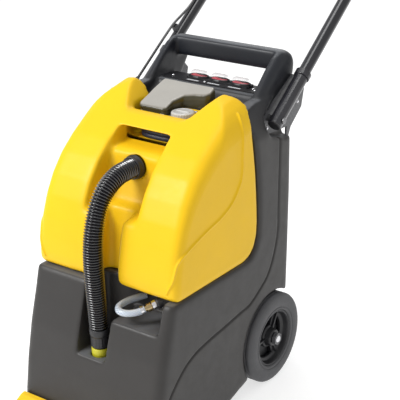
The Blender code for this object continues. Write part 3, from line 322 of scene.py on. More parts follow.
MATERIALS = {
    # The housing carries painted light on faces that look up, and a darker, bluish painted shade and
    # reflection high on the machine.
    "housing_black": finish("housing_black", (0.027, 0.025, 0.0235), 0.43, mottle=0.07, grain=0.3,
        grain_scale=900, edge_wear_and_sheen=0.3, specular=0.42, swell=0.12, painted_top_light=0.45,
        painted_upper_tone=(0.009, 0.011, 0.016)),
    "panel_black": finish("panel_black", (0.011, 0.011, 0.013), 0.42, mottle=0.1, grain=0.25,
        grain_scale=1500, edge_wear_and_sheen=0.25),
    "tank_yellow": finish("tank_yellow", (0.78, 0.48, 0.008), 0.4, mottle=0.025, grain=0.16,
        grain_scale=700, rough_vary=0.05, edge_wear_and_sheen=0.22, edge_wear_and_sheen_color=(0.92, 0.66, 0.08), specular=0.22,
        swell=0.1),
    "lid_smoke": lid_finish(),
    # On the hose and cable, the paler edge colour is a painted sheen on the rib crests.
    "hose_black": finish("hose_black", (0.003, 0.003, 0.004), 0.17, mottle=0.2, grain=0.06,
        grain_scale=900, rough_vary=0.04, edge_wear_and_sheen=0.2, edge_wear_and_sheen_color=(0.05, 0.05, 0.06), specular=0.6,
        coat=0.9),
    "clear_vinyl": braided_finish(),
    "collar_lime": finish("collar_lime", (0.5, 0.46, 0.02), 0.36, mottle=0.05, grain=0.15,
        grain_scale=900, rough_vary=0.05, edge_wear_and_sheen=0.15),
    "tube_black": finish("tube_black", (0.004, 0.004, 0.007), 0.2, mottle=0.15, grain=0.1,
        grain_scale=1200, rough_vary=0.05, edge_wear_and_sheen=0.2, edge_wear_and_sheen_color=(0.08, 0.08, 0.09), coat=0.4),
    "handle_black": finish("handle_black", (0.01, 0.01, 0.013), 0.36, mottle=0.12, grain=0.2,
        grain_scale=1200, edge_wear_and_sheen=0.5, edge_wear_and_sheen_color=(0.22, 0.22, 0.23)),
    # The tyre's faces that look up are lightened as painted light from above.
    "tyre_grey": finish("tyre_grey", (0.062, 0.062, 0.066), 0.58, mottle=0.06, grain=0.45,
        grain_scale=1300, rough_vary=0.07, edge_wear_and_sheen=0.3, edge_wear_and_sheen_color=(0.2, 0.2, 0.2), painted_top_light=0.2),
    "rocker_red": finish("rocker_red", (0.66, 0.004, 0.03), 0.26, mottle=0.06, grain=0.1,
        grain_scale=1200, rough_vary=0.05, edge_wear_and_sheen=0.3, edge_wear_and_sheen_color=(0.9, 0.35, 0.4), coat=0.5),
    "bright_steel": finish("bright_steel", (0.74, 0.74, 0.76), 0.2, mottle=0.05, grain=0.25,
        grain_scale=900, rough_vary=0.07, metallic=1.0, brushed=(200.0, 3000.0, 3000.0)),
    "dark_steel": finish("dark_steel", (0.16, 0.16, 0.17), 0.34, mottle=0.08, grain=0.25, grain_scale=900,
        rough_vary=0.07, edge_wear_and_sheen=0.4, edge_wear_and_sheen_color=(0.6, 0.6, 0.6), metallic=1.0),
    "brass": finish("brass", (0.42, 0.32, 0.17), 0.25, mottle=0.06, grain=0.2, grain_scale=900,
        metallic=1.0),
    "rubber": finish("rubber", (0.014, 0.014, 0.016), 0.46, mottle=0.1, grain=0.35, grain_scale=1200,
        rough_vary=0.07, edge_wear_and_sheen=0.25, edge_wear_and_sheen_color=(0.09, 0.09, 0.1)),
    "motor_grey": finish("motor_grey", (0.3, 0.31, 0.33), 0.42, mottle=0.08, grain=0.3, grain_scale=900,
        rough_vary=0.08, edge_wear_and_sheen=0.3, metallic=0.5),
    "float_white": finish("float_white", (0.78, 0.78, 0.75), 0.36, mottle=0.03, grain=0.1,
        grain_scale=900, rough_vary=0.05, edge_wear_and_sheen=0.1),
    "bristle_blue": finish("bristle_blue", (0.05, 0.1, 0.3), 0.6, mottle=0.15, grain=0.4,
        grain_scale=1500, rough_vary=0.08, edge_wear_and_sheen=0.2),
    "gasket_blue": finish("gasket_blue", (0.028, 0.038, 0.07), 0.3, mottle=0.12, grain=0.2,
        grain_scale=1200, edge_wear_and_sheen=0.3, edge_wear_and_sheen_color=(0.1, 0.12, 0.18)),
    "cap_grey": finish("cap_grey", (0.46, 0.455, 0.44), 0.3, mottle=0.04, grain=0.12, grain_scale=900,
        rough_vary=0.05, edge_wear_and_sheen=0.3, edge_wear_and_sheen_color=(0.8, 0.8, 0.78), coat=0.3),
    "label_pale": finish("label_pale", (0.62, 0.63, 0.65), 0.35, mottle=0.05, grain=0.1, grain_scale=900,
        rough_vary=0.05),
    "boot_film": film_finish(),
    "floor": floor_finish(),
}


# ---------------------------------------------------------------- mesh helpers, in the design's coordinates
def skin(rings, capped=True):
    """A surface through rings of points: capped at both ends, or else closed into a loop of rings."""
    bm = bmesh.new()
    grid = [[bm.verts.new(p) for p in ring] for ring in rings]
    count = len(grid[0])
    pairs = list(zip(grid, grid[1:]))
    if not capped:
        pairs.append((grid[-1], grid[0]))
    for low, high in pairs:
        for i in range(count):
            j = (i + 1) % count
            bm.faces.new((low[i], low[j], high[j], high[i]))
    if capped:
        bm.faces.new(list(reversed(grid[0])))
        bm.faces.new(grid[-1])
    bmesh.ops.recalc_face_normals(bm, faces=bm.faces)
    return bm


def prism(points, low, high, axis="X"):
    """An outline pushed from low to high: (y, z) points along X, or (x, y) points along Z."""
    def place(p, t):
        return (t, *p) if axis == "X" else (*p, t)
    return skin([[place(p, low) for p in points], [place(p, high) for p in points]])


def bevelled(bm, width, segments=3, angle=25.0):
    edges = [e for e in bm.edges
             if len(e.link_faces) == 2 and e.calc_face_angle(0.0) > math.radians(angle)]
    bmesh.ops.bevel(bm, geom=edges, offset=width, segments=segments, profile=0.5, affect="EDGES",
                    clamp_overlap=True)
    return bm


def block(low, high, bevel=0.001, segments=3):
    plan = [(low[0], low[1]), (high[0], low[1]), (high[0], high[1]), (low[0], high[1])]
    return bevelled(prism(plan, low[2], high[2], "Z"), bevel, segments)


def rounded_rectangle(x0, x1, y0, y1, radius, steps=4):
    points = []
    for cx, cy, start in ((x1 - radius, y1 - radius, 0), (x0 + radius, y1 - radius, 90),
                          (x0 + radius, y0 + radius, 180), (x1 - radius, y0 + radius, 270)):
        for k in range(steps + 1):
            a = math.radians(start + 90 * k / steps)
            points.append((cx + radius * math.cos(a), cy + radius * math.sin(a)))
    return points


def lathe(profile, segments, center=(0, 0, 0), direction=(0, 0, 1), wave=None):
    """(radius, height) points turned about an axis; a closed ring when no radius is zero."""
    solid = profile[0][0] == 0 and profile[-1][0] == 0
    rings = []
    for r, h in (profile[1:-1] if solid else profile):
        rings.append([])
        for k in range(segments):
            a = 2 * math.pi * k / segments
            reach = r + (wave(a, r, h) if wave else 0.0)
            rings[-1].append((reach * math.cos(a), reach * math.sin(a), h))
    bm = skin(rings, capped=solid)
    turn = Vector((0, 0, 1)).rotation_difference(Vector(direction).normalized()).to_matrix().to_4x4()
    bm.transform(Matrix.Translation(Vector(center)) @ turn)
    return bm


def rounded_profile(profile, radius, steps=3):
    """The same (radius, height) profile with its inner corners rounded."""
    result = [profile[0]]
    for before, at, after in zip(profile, profile[1:], profile[2:]):
        at = Vector(at)
        a, b = Vector(before) - at, Vector(after) - at
        cut = min(radius, a.length * 0.45, b.length * 0.45)
        if cut < 1e-5 or at.x == 0:
            result.append(tuple(at))
            continue
        start, end = at + a.normalized() * cut, at + b.normalized() * cut
        for k in range(steps + 1):
            t = k / steps
            result.append(tuple(start * (1 - t) ** 2 + at * 2 * t * (1 - t) + end * t * t))
    return result + [profile[-1]]


def merged(*parts):
    """One mesh of several, which are freed."""
    result = bmesh.new()
    for bm in parts:
        mesh = bpy.data.meshes.new("part")
        bm.to_mesh(mesh)
        bm.free()
        result.from_mesh(mesh)
        bpy.data.meshes.remove(mesh)
    return result


def route_points(route, spacing):
    """Points at equal spacing on a smooth curve through the route's own points."""
    knots = [Vector(p) for p in route]
    knots = [knots[0] * 2 - knots[1]] + knots + [knots[-1] * 2 - knots[-2]]
    dense = []
    for a, b, c, d in zip(knots, knots[1:], knots[2:], knots[3:]):
        for k in range(48):
            t = k / 48
            dense.append(0.5 * (2 * b + (c - a) * t + (2 * a - 5 * b + 4 * c - d) * t * t
                                + (3 * b - a - 3 * c + d) * t ** 3))
    dense.append(knots[-2])
    dense = np.array(dense)
    reach = np.concatenate([[0], np.cumsum(np.linalg.norm(np.diff(dense, axis=0), axis=1))])
    at = np.linspace(0, reach[-1], max(2, round(reach[-1] / spacing)) + 1)
    return [Vector([np.interp(t, reach, dense[:, k]) for k in range(3)]) for t in at]


def tube(points, radius, sides=24):
    """A capped tube along points; radius is a number, or a function of the distance along it. Its UV map
    runs once around and one unit a metre along."""
    bm = bmesh.new()
    layer = bm.loops.layers.uv.new("UVMap")
    ahead = [(b - a).normalized() for a, b in zip(points, points[1:])]
    ahead = [ahead[0]] + [(a + b).normalized() for a, b in zip(ahead, ahead[1:])] + [ahead[-1]]
    side = ahead[0].orthogonal().normalized()
    rings, travelled, distance = [], [], 0.0
    for i, (point, heading) in enumerate(zip(points, ahead)):
        if i:
            distance += (point - points[i - 1]).length
            side = (side - heading * side.dot(heading)).normalized()
        other = heading.cross(side)
        r = radius(distance) if callable(radius) else radius
        rings.append([bm.verts.new(point + (side * math.cos(a) + other * math.sin(a)) * r)
                      for a in (2 * math.pi * k / sides for k in range(sides))])
        travelled.append(distance)
    for i in range(len(rings) - 1):
        for k in range(sides):
            j = (k + 1) % sides
            face = bm.faces.new((rings[i][k], rings[i][j], rings[i + 1][j], rings[i + 1][k]))
            spots = ((k, i), (k + 1, i), (k + 1, i + 1), (k, i + 1))
            for loop, (u, v) in zip(face.loops, spots):
                loop[layer].uv = (u / sides, travelled[v])
    bm.faces.new(list(reversed(rings[0])))
    bm.faces.new(rings[-1])
    return bm


def on_handle(x, along, up=0.0):
    """A point beside the handle: along it from its lower end, and up from its axis."""
    return Vector((x, *HANDLE_PIVOT)) + HANDLE_DIR * along + HANDLE_UP * up


def piece(name, bm, slot, body, replaces=(), angle=35.0, material=None):
    """A shown piece: its mesh moved from the design's coordinates into the frame's, riding on a body."""
    bm.transform(Matrix.Translation(SHIFT))
    mesh = bpy.data.meshes.new(name)
    bm.to_mesh(mesh)
    bm.free()
    return shown(name, mesh, slot, body, replaces, angle, material)


def shown(name, mesh, slot, body, replaces=(), angle=35.0, material=None):
    """Shows a mesh that is already in the frame's coordinates; edges sharper than angle stay sharp."""
    mesh.polygons.foreach_set("use_smooth", [True] * len(mesh.polygons))
    mesh.set_sharp_from_angle(angle=math.radians(angle))
    mesh.materials.clear()
    mesh.materials.append(MATERIALS[material or slot])
    obj = bpy.data.objects.new(name, mesh)
    SCENE.collection.objects.link(obj)
    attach(obj, body)
    if replaces:
        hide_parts(*replaces)
    return obj


# ---------------------------------------------------------------- soft moulded shells from CAD nodes
def remeshed(node, voxel):
    """A CAD node's mesh rebuilt from voxels, so that its edges can be softened."""
    holder = bpy.data.objects.new("rough", NODES[node].data.copy())
    SCENE.collection.objects.link(holder)
    modifier = holder.modifiers.new("voxels", "REMESH")
    modifier.mode = "VOXEL"
    modifier.voxel_size = voxel
    bpy.context.view_layer.update()
    graph = bpy.context.evaluated_depsgraph_get()
    mesh = bpy.data.meshes.new_from_object(holder.evaluated_get(graph))
    bpy.data.objects.remove(holder)
    mesh.name = node
    return mesh


def coordinates(mesh):
    co = np.empty(len(mesh.vertices) * 3)
    mesh.vertices.foreach_get("co", co)
    return co.reshape(-1, 3)


def softened(mesh, rounds, weight=None):
    """Rounds off a mesh by averaging each vertex with its neighbours, by a weight for each vertex."""
    co = coordinates(mesh)
    edges = np.empty(len(mesh.edges) * 2, int)
    mesh.edges.foreach_get("vertices", edges)
    a, b = edges.reshape(-1, 2).T
    count = np.bincount(a, minlength=len(co)) + np.bincount(b, minlength=len(co))
    share = 0.5 if weight is None else 0.5 * weight[:, None]
    for _ in range(rounds):
        mean = np.stack([np.bincount(a, co[b, k], len(co)) + np.bincount(b, co[a, k], len(co))
                         for k in range(3)], 1) / count[:, None]
        co += share * (mean - co)
    mesh.vertices.foreach_set("co", co.ravel())
    mesh.update()


def to_line(co, line):
    """Distance of each point from a line of points."""
    best = np.full(len(co), 1e9)
    for p, q in zip(line, line[1:]):
        p, q = np.array(p), np.array(q)
        d = q - p
        t = np.clip((co - p) @ d / (d @ d), 0, 1)
        best = np.minimum(best, np.linalg.norm(co - p - t[:, None] * d, axis=1))
    return best


def scored(mesh, line, width, depth, cuts=2):
    """Moves a narrow line in a surface along its normals: a groove if depth is below zero, else a bead."""
    reach = width * 2.6
    tree = BVHTree.FromPolygons([v.co for v in mesh.vertices], [p.vertices for p in mesh.polygons])
    snapped = [tree.find_nearest(p + SHIFT)[0] for p in line]
    bm = bmesh.new()
    bm.from_mesh(mesh)
    near = to_line(np.array([v.co for v in bm.verts]), snapped) < reach
    bm.edges.ensure_lookup_table()
    edges = [e for e in bm.edges if near[e.verts[0].index] and near[e.verts[1].index]]
    bmesh.ops.subdivide_edges(bm, edges=edges, cuts=cuts, use_grid_fill=True)
    bm.normal_update()
    co = np.array([v.co for v in bm.verts])
    distance = to_line(co, snapped)
    normals = [v.normal.copy() for v in bm.verts]
    for v, n, d in zip(bm.verts, normals, distance):
        if d < reach:
            v.co += n * depth * math.exp(-(d / width) ** 2)
    bm.to_mesh(mesh)
    bm.free()
    mesh.update()


def side_line(points, sign, x=SIDE_X, spacing=0.006):
    """A line on the side of a shell from its (y, z) points, or (x, y, z) where it leaves the flat side."""
    full = [(x, *p) if len(p) == 2 else p for p in points]
    return [Vector((sign * p.x, p.y, p.z)) for p in route_points(full, spacing)]


TANK_RIDGE = [(0.225, 0.654), (0.220, 0.570), (0.218, 0.519), (0.204, 0.492), (0.180, 0.468), (0.142, 0.451),
              (0.109, 0.443), (0.076, 0.434), (0.043, 0.423), (0.176, 0.018, 0.412), (0.174, 0.003, 0.395),
              (0.169, -0.001, 0.372), (0.155, -0.003, 0.342)]
HOUSING_GROOVE = [(0.3615, 0.600), (0.3615, 0.574), (0.361, 0.420), (0.361, 0.352), (0.347, 0.299),
                  (0.325, 0.261), (0.294, 0.238), (0.256, 0.218), (0.223, 0.214), (0.163, 0.206),
                  (0.110, 0.200), (0.059, 0.190), (0.019, 0.170), (-0.022, 0.131), (-0.040, 0.095),
                  (-0.046, 0.060), (-0.048, 0.030)]


def add_tank():
    """The moulded tank, softer inside the recess for the hose, with a raised line along each side."""
    mesh = remeshed("recovery_tank", 0.0032)
    softened(mesh, 8)
    co = coordinates(mesh)
    across, y = np.abs(co[:, 0]), co[:, 1] - SHIFT.y
    recess = np.clip((0.090 - across) / 0.015, 0, 1) * np.clip((0.118 - y) / 0.01, 0, 1)
    softened(mesh, 22, recess)
    for sign in (-1, 1):
        scored(mesh, side_line(TANK_RIDGE, sign), 0.0024, 0.0032)
    shown("recovery_tank_shell", mesh, "tank_yellow", "tank", ("recovery_tank",), 60)


def add_housing():
    """The moulded body, with a groove along each side."""
    mesh = remeshed("main_housing", 0.0034)
    softened(mesh, 7)
    for sign in (-1, 1):
        scored(mesh, side_line(HOUSING_GROOVE, sign), 0.0026, -0.0038)
    shown("main_housing_shell", mesh, "housing_black", "machine", ("main_housing",), 60)


def add_lid():
    mesh = remeshed("tank_lid", 0.0012)
    softened(mesh, 5)
    shown("tank_lid_shell", mesh, "lid_smoke", "lid", ("tank_lid",), 60)
    button = rounded_profile([(0, 0), (0.0042, 0), (0.0042, 0.004), (0.0030, 0.0052), (0, 0.0052)], 0.0008)
    piece("lid_latch", lathe(button, 24, (0.0450, 0.2460, 0.6150)), "bright_steel", "lid")
    pin = lathe([(0, 0), (0.0020, 0), (0.0020, 0.0110), (0, 0.0110)], 16, (-0.0075, 0.1922, 0.6165),
                (1, 0, 0))
    clip = merged(block((-0.0070, 0.1905, 0.6135), (0.0030, 0.1950, 0.6185), 0.0008), pin)
    piece("lid_clip", clip, "float_white", "lid")


def add_slot_band():
    """The dark double band that lines the back of the carry slot below the lid."""
    half, back, bow, steps = 0.0470, 0.1880, 0.0160, 32
    beads = []
    for low, swell in ((0.5712, 0.0100), (0.5812, 0.0078)):
        section = [(0.0, low), (-0.0030, low + 0.0012), (-0.0042, low + swell * 0.5),
                   (-0.0030, low + swell - 0.0012), (0.0, low + swell)]
        rings = []
        for k in range(steps + 1):
            t = 2 * k / steps - 1
            y = back - bow * (1 - t ** 4)
            rings.append([(half * t, y + dy, z) for dy, z in section])
        beads.append(skin(rings))
    piece("slot_band", merged(*beads), "rubber", "tank", angle=60, material="gasket_blue")


def add_cap():
    """The screw cap: a fluted disc with a low finger bar across it."""
    x, y = CAP_CENTER
    def flutes(a, r, h):
        return 0.0004 * math.cos(28 * a) if r > 0.0230 and 0.0015 < h < 0.0100 else 0.0
    outline = rounded_profile([(0, 0), (0.0230, 0), (0.0240, 0.0015), (0.0240, 0.0095), (0.0220, 0.0112),
                               (0.0190, 0.0118), (0.0180, 0.0108), (0, 0.0108)], 0.0008)
    disc = lathe(outline, 168, (x, y, 0.6133), wave=flutes)
    bar = block((x - 0.0150, y - 0.0025, 0.6233), (x + 0.0150, y + 0.0025, 0.6257), 0.0009)
    piece("tank_cap_knob", merged(disc, bar), "lid_smoke", "cap", ("tank_cap",), material="cap_grey")


# ---------------------------------------------------------------- hoses and cable
VACUUM_HOSE_ROUTE = [
    (0.0, 0.098, 0.5335), (0.0, 0.078, 0.5335), (0.0, 0.052, 0.5315), (0.0, 0.026, 0.522),
    (0.0, 0.004, 0.506), (0.0, -0.014, 0.480), (0.0, -0.026, 0.445), (0.0, -0.0315, 0.405),
    (0.0, -0.0315, 0.362), (0.0, -0.0285, 0.318), (0.0, -0.0248, 0.275), (0.0, -0.0215, 0.2335),
]
SOLUTION_HOSE_ROUTE = [
    (0.062, 0.051, 0.291), (0.056, 0.038, 0.291), (0.048, 0.018, 0.290), (0.045, -0.001, 0.289),
    (0.048, -0.017, 0.288), (0.058, -0.027, 0.287), (0.072, -0.0270, 0.2865), (0.085, -0.0185, 0.2870),
    (0.0935, -0.0075, 0.2888), (0.100, 0.000, 0.2925),
]
CABLE_ROUTE = [on_handle(-HANDLE_X, 0.030, 0.0365), on_handle(-HANDLE_X, 0.085, 0.0358),
               on_handle(-HANDLE_X, 0.140, 0.0350), on_handle(-HANDLE_X, 0.190, 0.0325),
               on_handle(-HANDLE_X, 0.225, 0.0250), on_handle(-HANDLE_X, 0.260, 0.0185),
               on_handle(-HANDLE_X, 0.320, 0.0166), on_handle(-HANDLE_X, 0.420, 0.0166),
               on_handle(-HANDLE_X, 0.510, 0.0168), on_handle(-0.171, 0.560, 0.0170),
               on_handle(-0.160, 0.593, 0.0150), on_handle(-0.1535, 0.6035, 0.0134)]


def hose_along(name, route, spacing, radius, sides, slot, body, node):
    """A hose or cable along a route, shown in place of its CAD node. Returns its points."""
    points = route_points(route, spacing)
    obj = piece(name, tube(points, radius, sides), slot, body, (node,), 60)
    return points


def add_hoses():
    def ribbed(s):
        crest = 0.5 + 0.5 * math.cos(2 * math.pi * s / RIB_PITCH)
        return 0.0160 + 0.0040 * crest ** 0.8
    hose = hose_along("vacuum_hose_ribbed", VACUUM_HOSE_ROUTE, RIB_PITCH / 10, ribbed, 44, "hose_black",
                      "tank", "vacuum_hose")
    hose_along("solution_hose_braided", SOLUTION_HOSE_ROUTE, 0.0012, 0.0070, 28, "clear_vinyl", "machine",
               "solution_hose")
    hose_along("control_cable_sheath", CABLE_ROUTE, 0.004, 0.0029, 14, "hose_black", "handle",
               "control_cable")
    top = hose[-1] + (hose[-1] - hose[-2]).normalized() * 0.0003
    end = Vector((0.0, -0.0195, 0.1906))
    reach = (top - end).length - 0.001
    def gripped(a, r, h):
        return 0.0004 * math.cos(18 * a) if 0.004 < h < 0.024 and r > 0.017 else 0.0
    cuff = rounded_profile([(0, 0), (0.0172, 0), (0.0186, 0.003), (0.0183, 0.024), (0.0205, 0.029),
                            (0.0205, reach - 0.004), (0.0196, reach), (0, reach)], 0.0015)
    piece("hose_cuff_ribbed", lathe(cuff, 72, end, top - end, wave=gripped), "rubber", "tank", ("hose_cuff",))
    collar = rounded_profile([(0.0135, 0), (0.0172, 0), (0.0172, 0.0150), (0.0182, 0.0158),
                              (0.0182, 0.0275), (0.0174, 0.0290), (0.0135, 0.0290)], 0.0008)
    piece("hose_collar_ring", lathe(collar, 72, HOSE_SEAT), "collar_lime", "machine", ("hose_collar",))
    flange = rounded_profile([(0.0206, 0.0), (0.0252, 0.0), (0.0252, 0.004), (0.0236, 0.006),
                              (0.0232, 0.0130), (0.0222, 0.014), (0.0206, 0.014)], 0.0012)
    piece("hose_flange_ring", lathe(flange, 64, HOSE_PORT, (0, -1, 0)), "rubber", "tank", ("hose_flange",))


# ---------------------------------------------------------------- switches and panel
RIM_PROFILE = ((0.0, 0.0), (0.0046, 0.0), (0.0052, 0.0022), (0.0040, 0.0064), (0.0010, 0.0074), (0.0, 0.0060))
BOOT_PROFILE = ((-0.0012, 0.0036), (-0.0012, 0.0046), (0.0006, 0.0052), (0.0012, 0.0130), (0.0026, 0.0158),
                (0.0056, 0.0172))


def switch_rim(x, base):
    """An oval ring round a switch; its profile is (outward, up)."""
    turn = [2 * math.pi * k / 56 for k in range(56)]
    return skin([[(x + (0.0206 + out) * math.cos(a), SWITCH_Y + (0.0112 + out * 0.55) * math.sin(a),
                   base + rise) for a in turn] for out, rise in RIM_PROFILE], capped=False)


def switch_boot(x, base):
    """A clear rubber boot over a switch; its profile is (inward, up)."""
    rings = []
    for inset, rise in BOOT_PROFILE:
        plan = rounded_rectangle(x - 0.0192 + inset, x + 0.0192 - inset, SWITCH_Y - 0.0094 + inset,
                                 SWITCH_Y + 0.0094 - inset, 0.0040 - inset * 0.4)
        rings.append([(px, py, base + rise) for px, py in plan])
    return skin(rings)


def add_panel():
    base = PANEL_Z + 0.0003
    for i, x in enumerate(SWITCHES):
        piece(f"switch_rim_{i + 1}", switch_rim(x, base), "panel_black", "machine", angle=50)
        piece(f"switch_boot_{i + 1}", switch_boot(x, base), "clear_vinyl", "machine", angle=50,
              material="boot_film")
        label = block((x - 0.0165, 0.3578, PANEL_Z), (x + 0.0135, 0.3622, PANEL_Z + 0.0004), 0.0001, 1)
        piece(f"switch_label_{i + 1}", label, "bright_steel", "machine", material="label_pale")
    screws = [screw_head((x, y, PANEL_Z), (0, 0, 1), 0.0034)
              for x, y in ((-0.1060, 0.3720), (-0.0170, 0.3640), (0.0980, 0.3760), (0.1080, 0.3670))]
    piece("panel_screws", merged(*screws), "bright_steel", "machine")


def screw_head(place, direction, radius):
    """A pan head with a cross recess, standing on a surface."""
    height = radius * 0.55
    steps = [(0, 0), (radius, 0)]
    for k in range(1, 6):
        a = math.radians(90 * k / 6)
        steps.append((radius * math.cos(a), height * math.sin(a)))
    steps += [(radius * 0.16, height), (radius * 0.13, height * 0.35), (0, height * 0.35)]
    def cross(a, r, h):
        return radius * 0.38 * max(0.0, math.cos(4 * a)) ** 3 if 0 < r < radius * 0.2 else 0.0
    return lathe(steps, 32, place, direction, wave=cross)


def hex_head(place, direction, radius, height):
    """A hexagon bolt head on its washer."""
    bm = lathe([(0, 0), (radius, 0), (radius, height * 0.85), (radius * 0.9, height), (0, height)], 6, place,
               direction)
    washer = lathe([(0, 0), (radius * 1.35, 0), (radius * 1.35, height * 0.2), (0, height * 0.2)], 32, place,
                   direction)
    return merged(bevelled(bm, radius * 0.05, 2), washer)


# ---------------------------------------------------------------- wheels
def spoke(center, sign, turn_by):
    """One flat arm of a hub with a raised rib along it."""
    arm = prism([(-0.0075, 0.0225), (0.0075, 0.0225), (0.0120, 0.0505), (-0.0120, 0.0505)], -0.0050, 0.0040)
    rib = prism([(-0.0022, 0.0200), (0.0022, 0.0200), (0.0022, 0.0560), (-0.0022, 0.0560)], 0.0020, 0.0085)
    both = merged(bevelled(arm, 0.0012), bevelled(rib, 0.0008))
    turn = Matrix.Rotation(math.radians(turn_by), 4, "X")
    both.transform(Matrix.Translation(center) @ turn @ Matrix.Scale(sign, 4, (1, 0, 0)))
    bmesh.ops.recalc_face_normals(both, faces=both.faces)
    return both


def add_wheels():
    outer = [(0.0640, 0.0190), (0.0655, 0.0212), (0.0690, 0.0218), (0.0702, 0.0204), (0.0716, 0.0204),
             (0.0728, 0.0220), (0.0790, 0.0229), (0.0840, TYRE_HALF), (0.0900, 0.0224), (0.0960, 0.0207),
             (0.0995, 0.0182), (0.1012, 0.0155), (0.1016, 0.0125), (0.1016, 0.0098), (0.1001, 0.0090),
             (0.1001, 0.0074), (0.1016, 0.0066), (0.1016, 0.0022), (0.1001, 0.0012)]
    tyre = [(r, -h) for r, h in outer] + [(r, h) for r, h in reversed(outer)]
    for side, sign in (("left", -1), ("right", 1)):
        center = Vector((sign * (WHEEL_FACE - TYRE_HALF), *WHEEL_CENTER))
        out = (sign, 0, 0)
        piece("tyre_moulded_" + side, lathe(rounded_profile(tyre, 0.0008, 2), 120, center, out), "tyre_grey",
              "wheel_" + side, ("tyre_" + side,), 40)
        barrel = lathe(rounded_profile(
            [(0.0565, -0.0185), (0.0637, -0.0185), (0.0637, 0.0180), (0.0625, 0.0185), (0.0600, 0.0185),
             (0.0585, 0.0150), (0.0560, 0.0060), (0.0505, 0.0040), (0.0490, 0.0025), (0.0490, -0.0040),
             (0.0545, -0.0060)], 0.0012), 96, center, out)
        boss = lathe(rounded_profile(
            [(0.0082, -0.0290), (0.0190, -0.0290), (0.0190, -0.0060), (0.0260, -0.0050), (0.0260, 0.0030),
             (0.0235, 0.0050), (0.0215, 0.0050), (0.0190, 0.0165), (0.0175, 0.0190), (0.0082, 0.0190)],
            0.0012), 64, center, out)
        web = lathe([(0.0250, -0.0075), (0.0570, -0.0090), (0.0570, -0.0070), (0.0250, -0.0055)], 64, center,
                    out)
        spokes = [spoke(center, sign, 90 + 120 * k) for k in range(3)]
        piece("wheel_hub_spoked_" + side, merged(barrel, boss, web, *spokes), "panel_black", "wheel_" + side,
              ("wheel_hub_" + side,), 40)


# ---------------------------------------------------------------- pull handle
def add_handle():
    corner, shoulder = HANDLE_X - HANDLE_BEND, HANDLE_REACH - HANDLE_BEND
    leg = (TUBE_START, 0.20, 0.35, shoulder)
    points = [on_handle(-HANDLE_X, s) for s in leg]
    for sign in (-1, 1):
        arc = []
        for k in range(1, 16):
            a = math.radians(90 * k / 16)
            arc.append(on_handle(sign * (corner + HANDLE_BEND * math.cos(a)),
                                 shoulder + HANDLE_BEND * math.sin(a)))
        if sign < 0:
            points += arc + [on_handle(-corner, HANDLE_REACH)]
        else:
            points += [on_handle(corner, HANDLE_REACH)] + list(reversed(arc))
    points += [on_handle(HANDLE_X, s) for s in reversed(leg)]
    piece("handle_tube_bent", tube(points, HANDLE_TUBE_R, 32), "tube_black", "handle", ("handle_tube",), 60)

    ribs = [(0.0133, 0.0), (0.0155, 0.0), (0.0165, 0.0020)]
    for k in range(20):
        at = 0.0080 + k * 0.0097
        ribs += [(0.0165, at), (0.0154, at + 0.0008), (0.0154, at + 0.0026), (0.0165, at + 0.0034)]
    ribs += [(0.0165, 0.2080), (0.0155, 0.2100), (0.0133, 0.2100)]
    grip = lathe(ribs, 40, on_handle(-0.105, HANDLE_REACH), (1, 0, 0))
    piece("crossbar_grip_ribbed", grip, "rubber", "handle", ("crossbar_grip",), 50)

    lock = on_handle(0.0, 0.116, -0.020)
    plug = rounded_profile([(0, -0.0010), (0.0115, -0.0010), (0.0140, 0.0002), (0.0140, 0.0012),
                            (0, 0.0012)], 0.0006)
    for side, sign in (("left", -1), ("right", 1)):
        heads = [hex_head((sign * 0.1543, y, z), (sign, 0, 0), 0.0026, 0.0020)
                 for y, z in ((0.3420, 0.5790), (0.3800, 0.5780), (0.4620, 0.6080))]
        ring = lathe([(0.0024, 0), (0.0052, 0), (0.0058, 0.0008), (0.0052, 0.0016), (0.0024, 0.0016)], 32,
                     (sign * 0.1596, lock.y, lock.z), (sign, 0, 0))
        piece("lock_pin_ring_" + side, ring, "bright_steel", "machine", angle=50)
        piece("bracket_bolts_" + side, merged(*heads), "bright_steel", "machine")
        end_cap = lathe(plug, 32, on_handle(sign * HANDLE_X, -0.0008), HANDLE_DIR)
        piece("sleeve_end_cap_" + side, end_cap, "panel_black", "handle")


# ---------------------------------------------------------------- underside and rear
def add_brush():
    """Rows of tufts round the roller, set along a slow spiral."""
    rows, tufts_a_row = 12, 44
    tuft = [(0, 0), (0.0014, 0), (0.0022, 0.0177), (0, 0.0177)]
    tufts = []
    for row in range(rows):
        for k in range(tufts_a_row):
            x = -0.1320 + 0.2720 * (k + 0.5 * (row % 2)) / tufts_a_row
            a = 2 * math.pi * (row / rows) + 2 * math.pi * k / tufts_a_row
            out = Vector((0, math.cos(a), math.sin(a)))
            tufts.append(lathe(tuft, 6, Vector((x, *BRUSH_CENTER)) + out * BRUSH_CORE_R, out))
    piece("brush_tufts", merged(*tufts), "bristle_blue", "brush", ("brush_bristles",), 40)


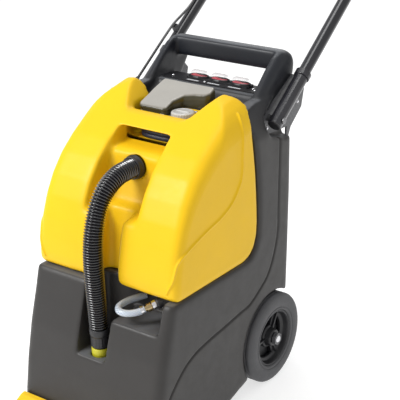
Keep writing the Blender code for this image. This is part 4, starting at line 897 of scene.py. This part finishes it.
def add_rear():
    louvres = []
    for k in range(9):
        z = 0.300 + k * 0.018
        louvres.append(block((-0.070, REAR_Y - 0.0002, z), (0.070, REAR_Y + 0.0026, z + 0.006), 0.0012))
    piece("rear_louvres", merged(*louvres), "housing_black", "machine")
    screws = [screw_head((x, REAR_Y, z), (0, 1, 0), 0.0042)
              for x in (-0.103, 0.103) for z in (0.238, 0.400, 0.562)]
    piece("rear_screws", merged(*screws), "bright_steel", "machine")


def add_floor():
    bm = bmesh.new()
    bmesh.ops.create_grid(bm, x_segments=8, y_segments=8, size=9.0)
    bm.transform(Matrix.Translation((0, 0, -0.0005)))
    mesh = bpy.data.meshes.new("floor")
    bm.to_mesh(mesh)
    bm.free()
    mesh.materials.append(MATERIALS["floor"])
    floor = bpy.data.objects.new("floor", mesh)
    SCENE.collection.objects.link(floor)


# ---------------------------------------------------------------- CAD nodes that are shown as they are
CARRIED = {
    "panel_black": ("control_panel", "switch_bezels", "spray_trigger", "trigger_clamp", "brush_pulley",
                    "motor_pulley", "coupler_socket"),
    "housing_black": ("rear_cover", "shoe_duct", "float_cage", "spray_bar"),
    "tank_yellow": ("vacuum_shoe",),
    "gasket_blue": ("lid_gasket",),
    "tube_black": ("handle_sleeve_left", "handle_sleeve_right", "tube_collar_left", "tube_collar_right"),
    "handle_black": ("handle_bracket_left", "handle_bracket_right", "axle_nut_left", "axle_nut_right"),
    "rocker_red": ("switch_rocker_1", "switch_rocker_2", "switch_rocker_3"),
    "bright_steel": ("axle", "lock_pin_left", "lock_pin_right", "coupler_ring", "hose_clamp"),
    "dark_steel": ("pivot_bolt_left", "pivot_bolt_right"),
    "brass": ("coupler_body",),
    "rubber": ("fill_cap", "power_inlet", "drive_belt", "cable_boot", "cable_clip"),
    "motor_grey": ("brush_core", "brush_motor", "vacuum_motor", "vacuum_fan", "pump"),
    "float_white": ("float_ball",),
}


def finish_carried():
    for material, names in CARRIED.items():
        for name in names:
            mesh = NODES[name].data
            mesh.materials.clear()
            mesh.materials.append(MATERIALS[material])


add_camera()
add_hoses()
add_studio()
add_tank()
add_housing()
add_lid()
add_slot_band()
add_cap()
add_panel()
add_wheels()
add_handle()
add_brush()
add_rear()
add_floor()
finish_carried()
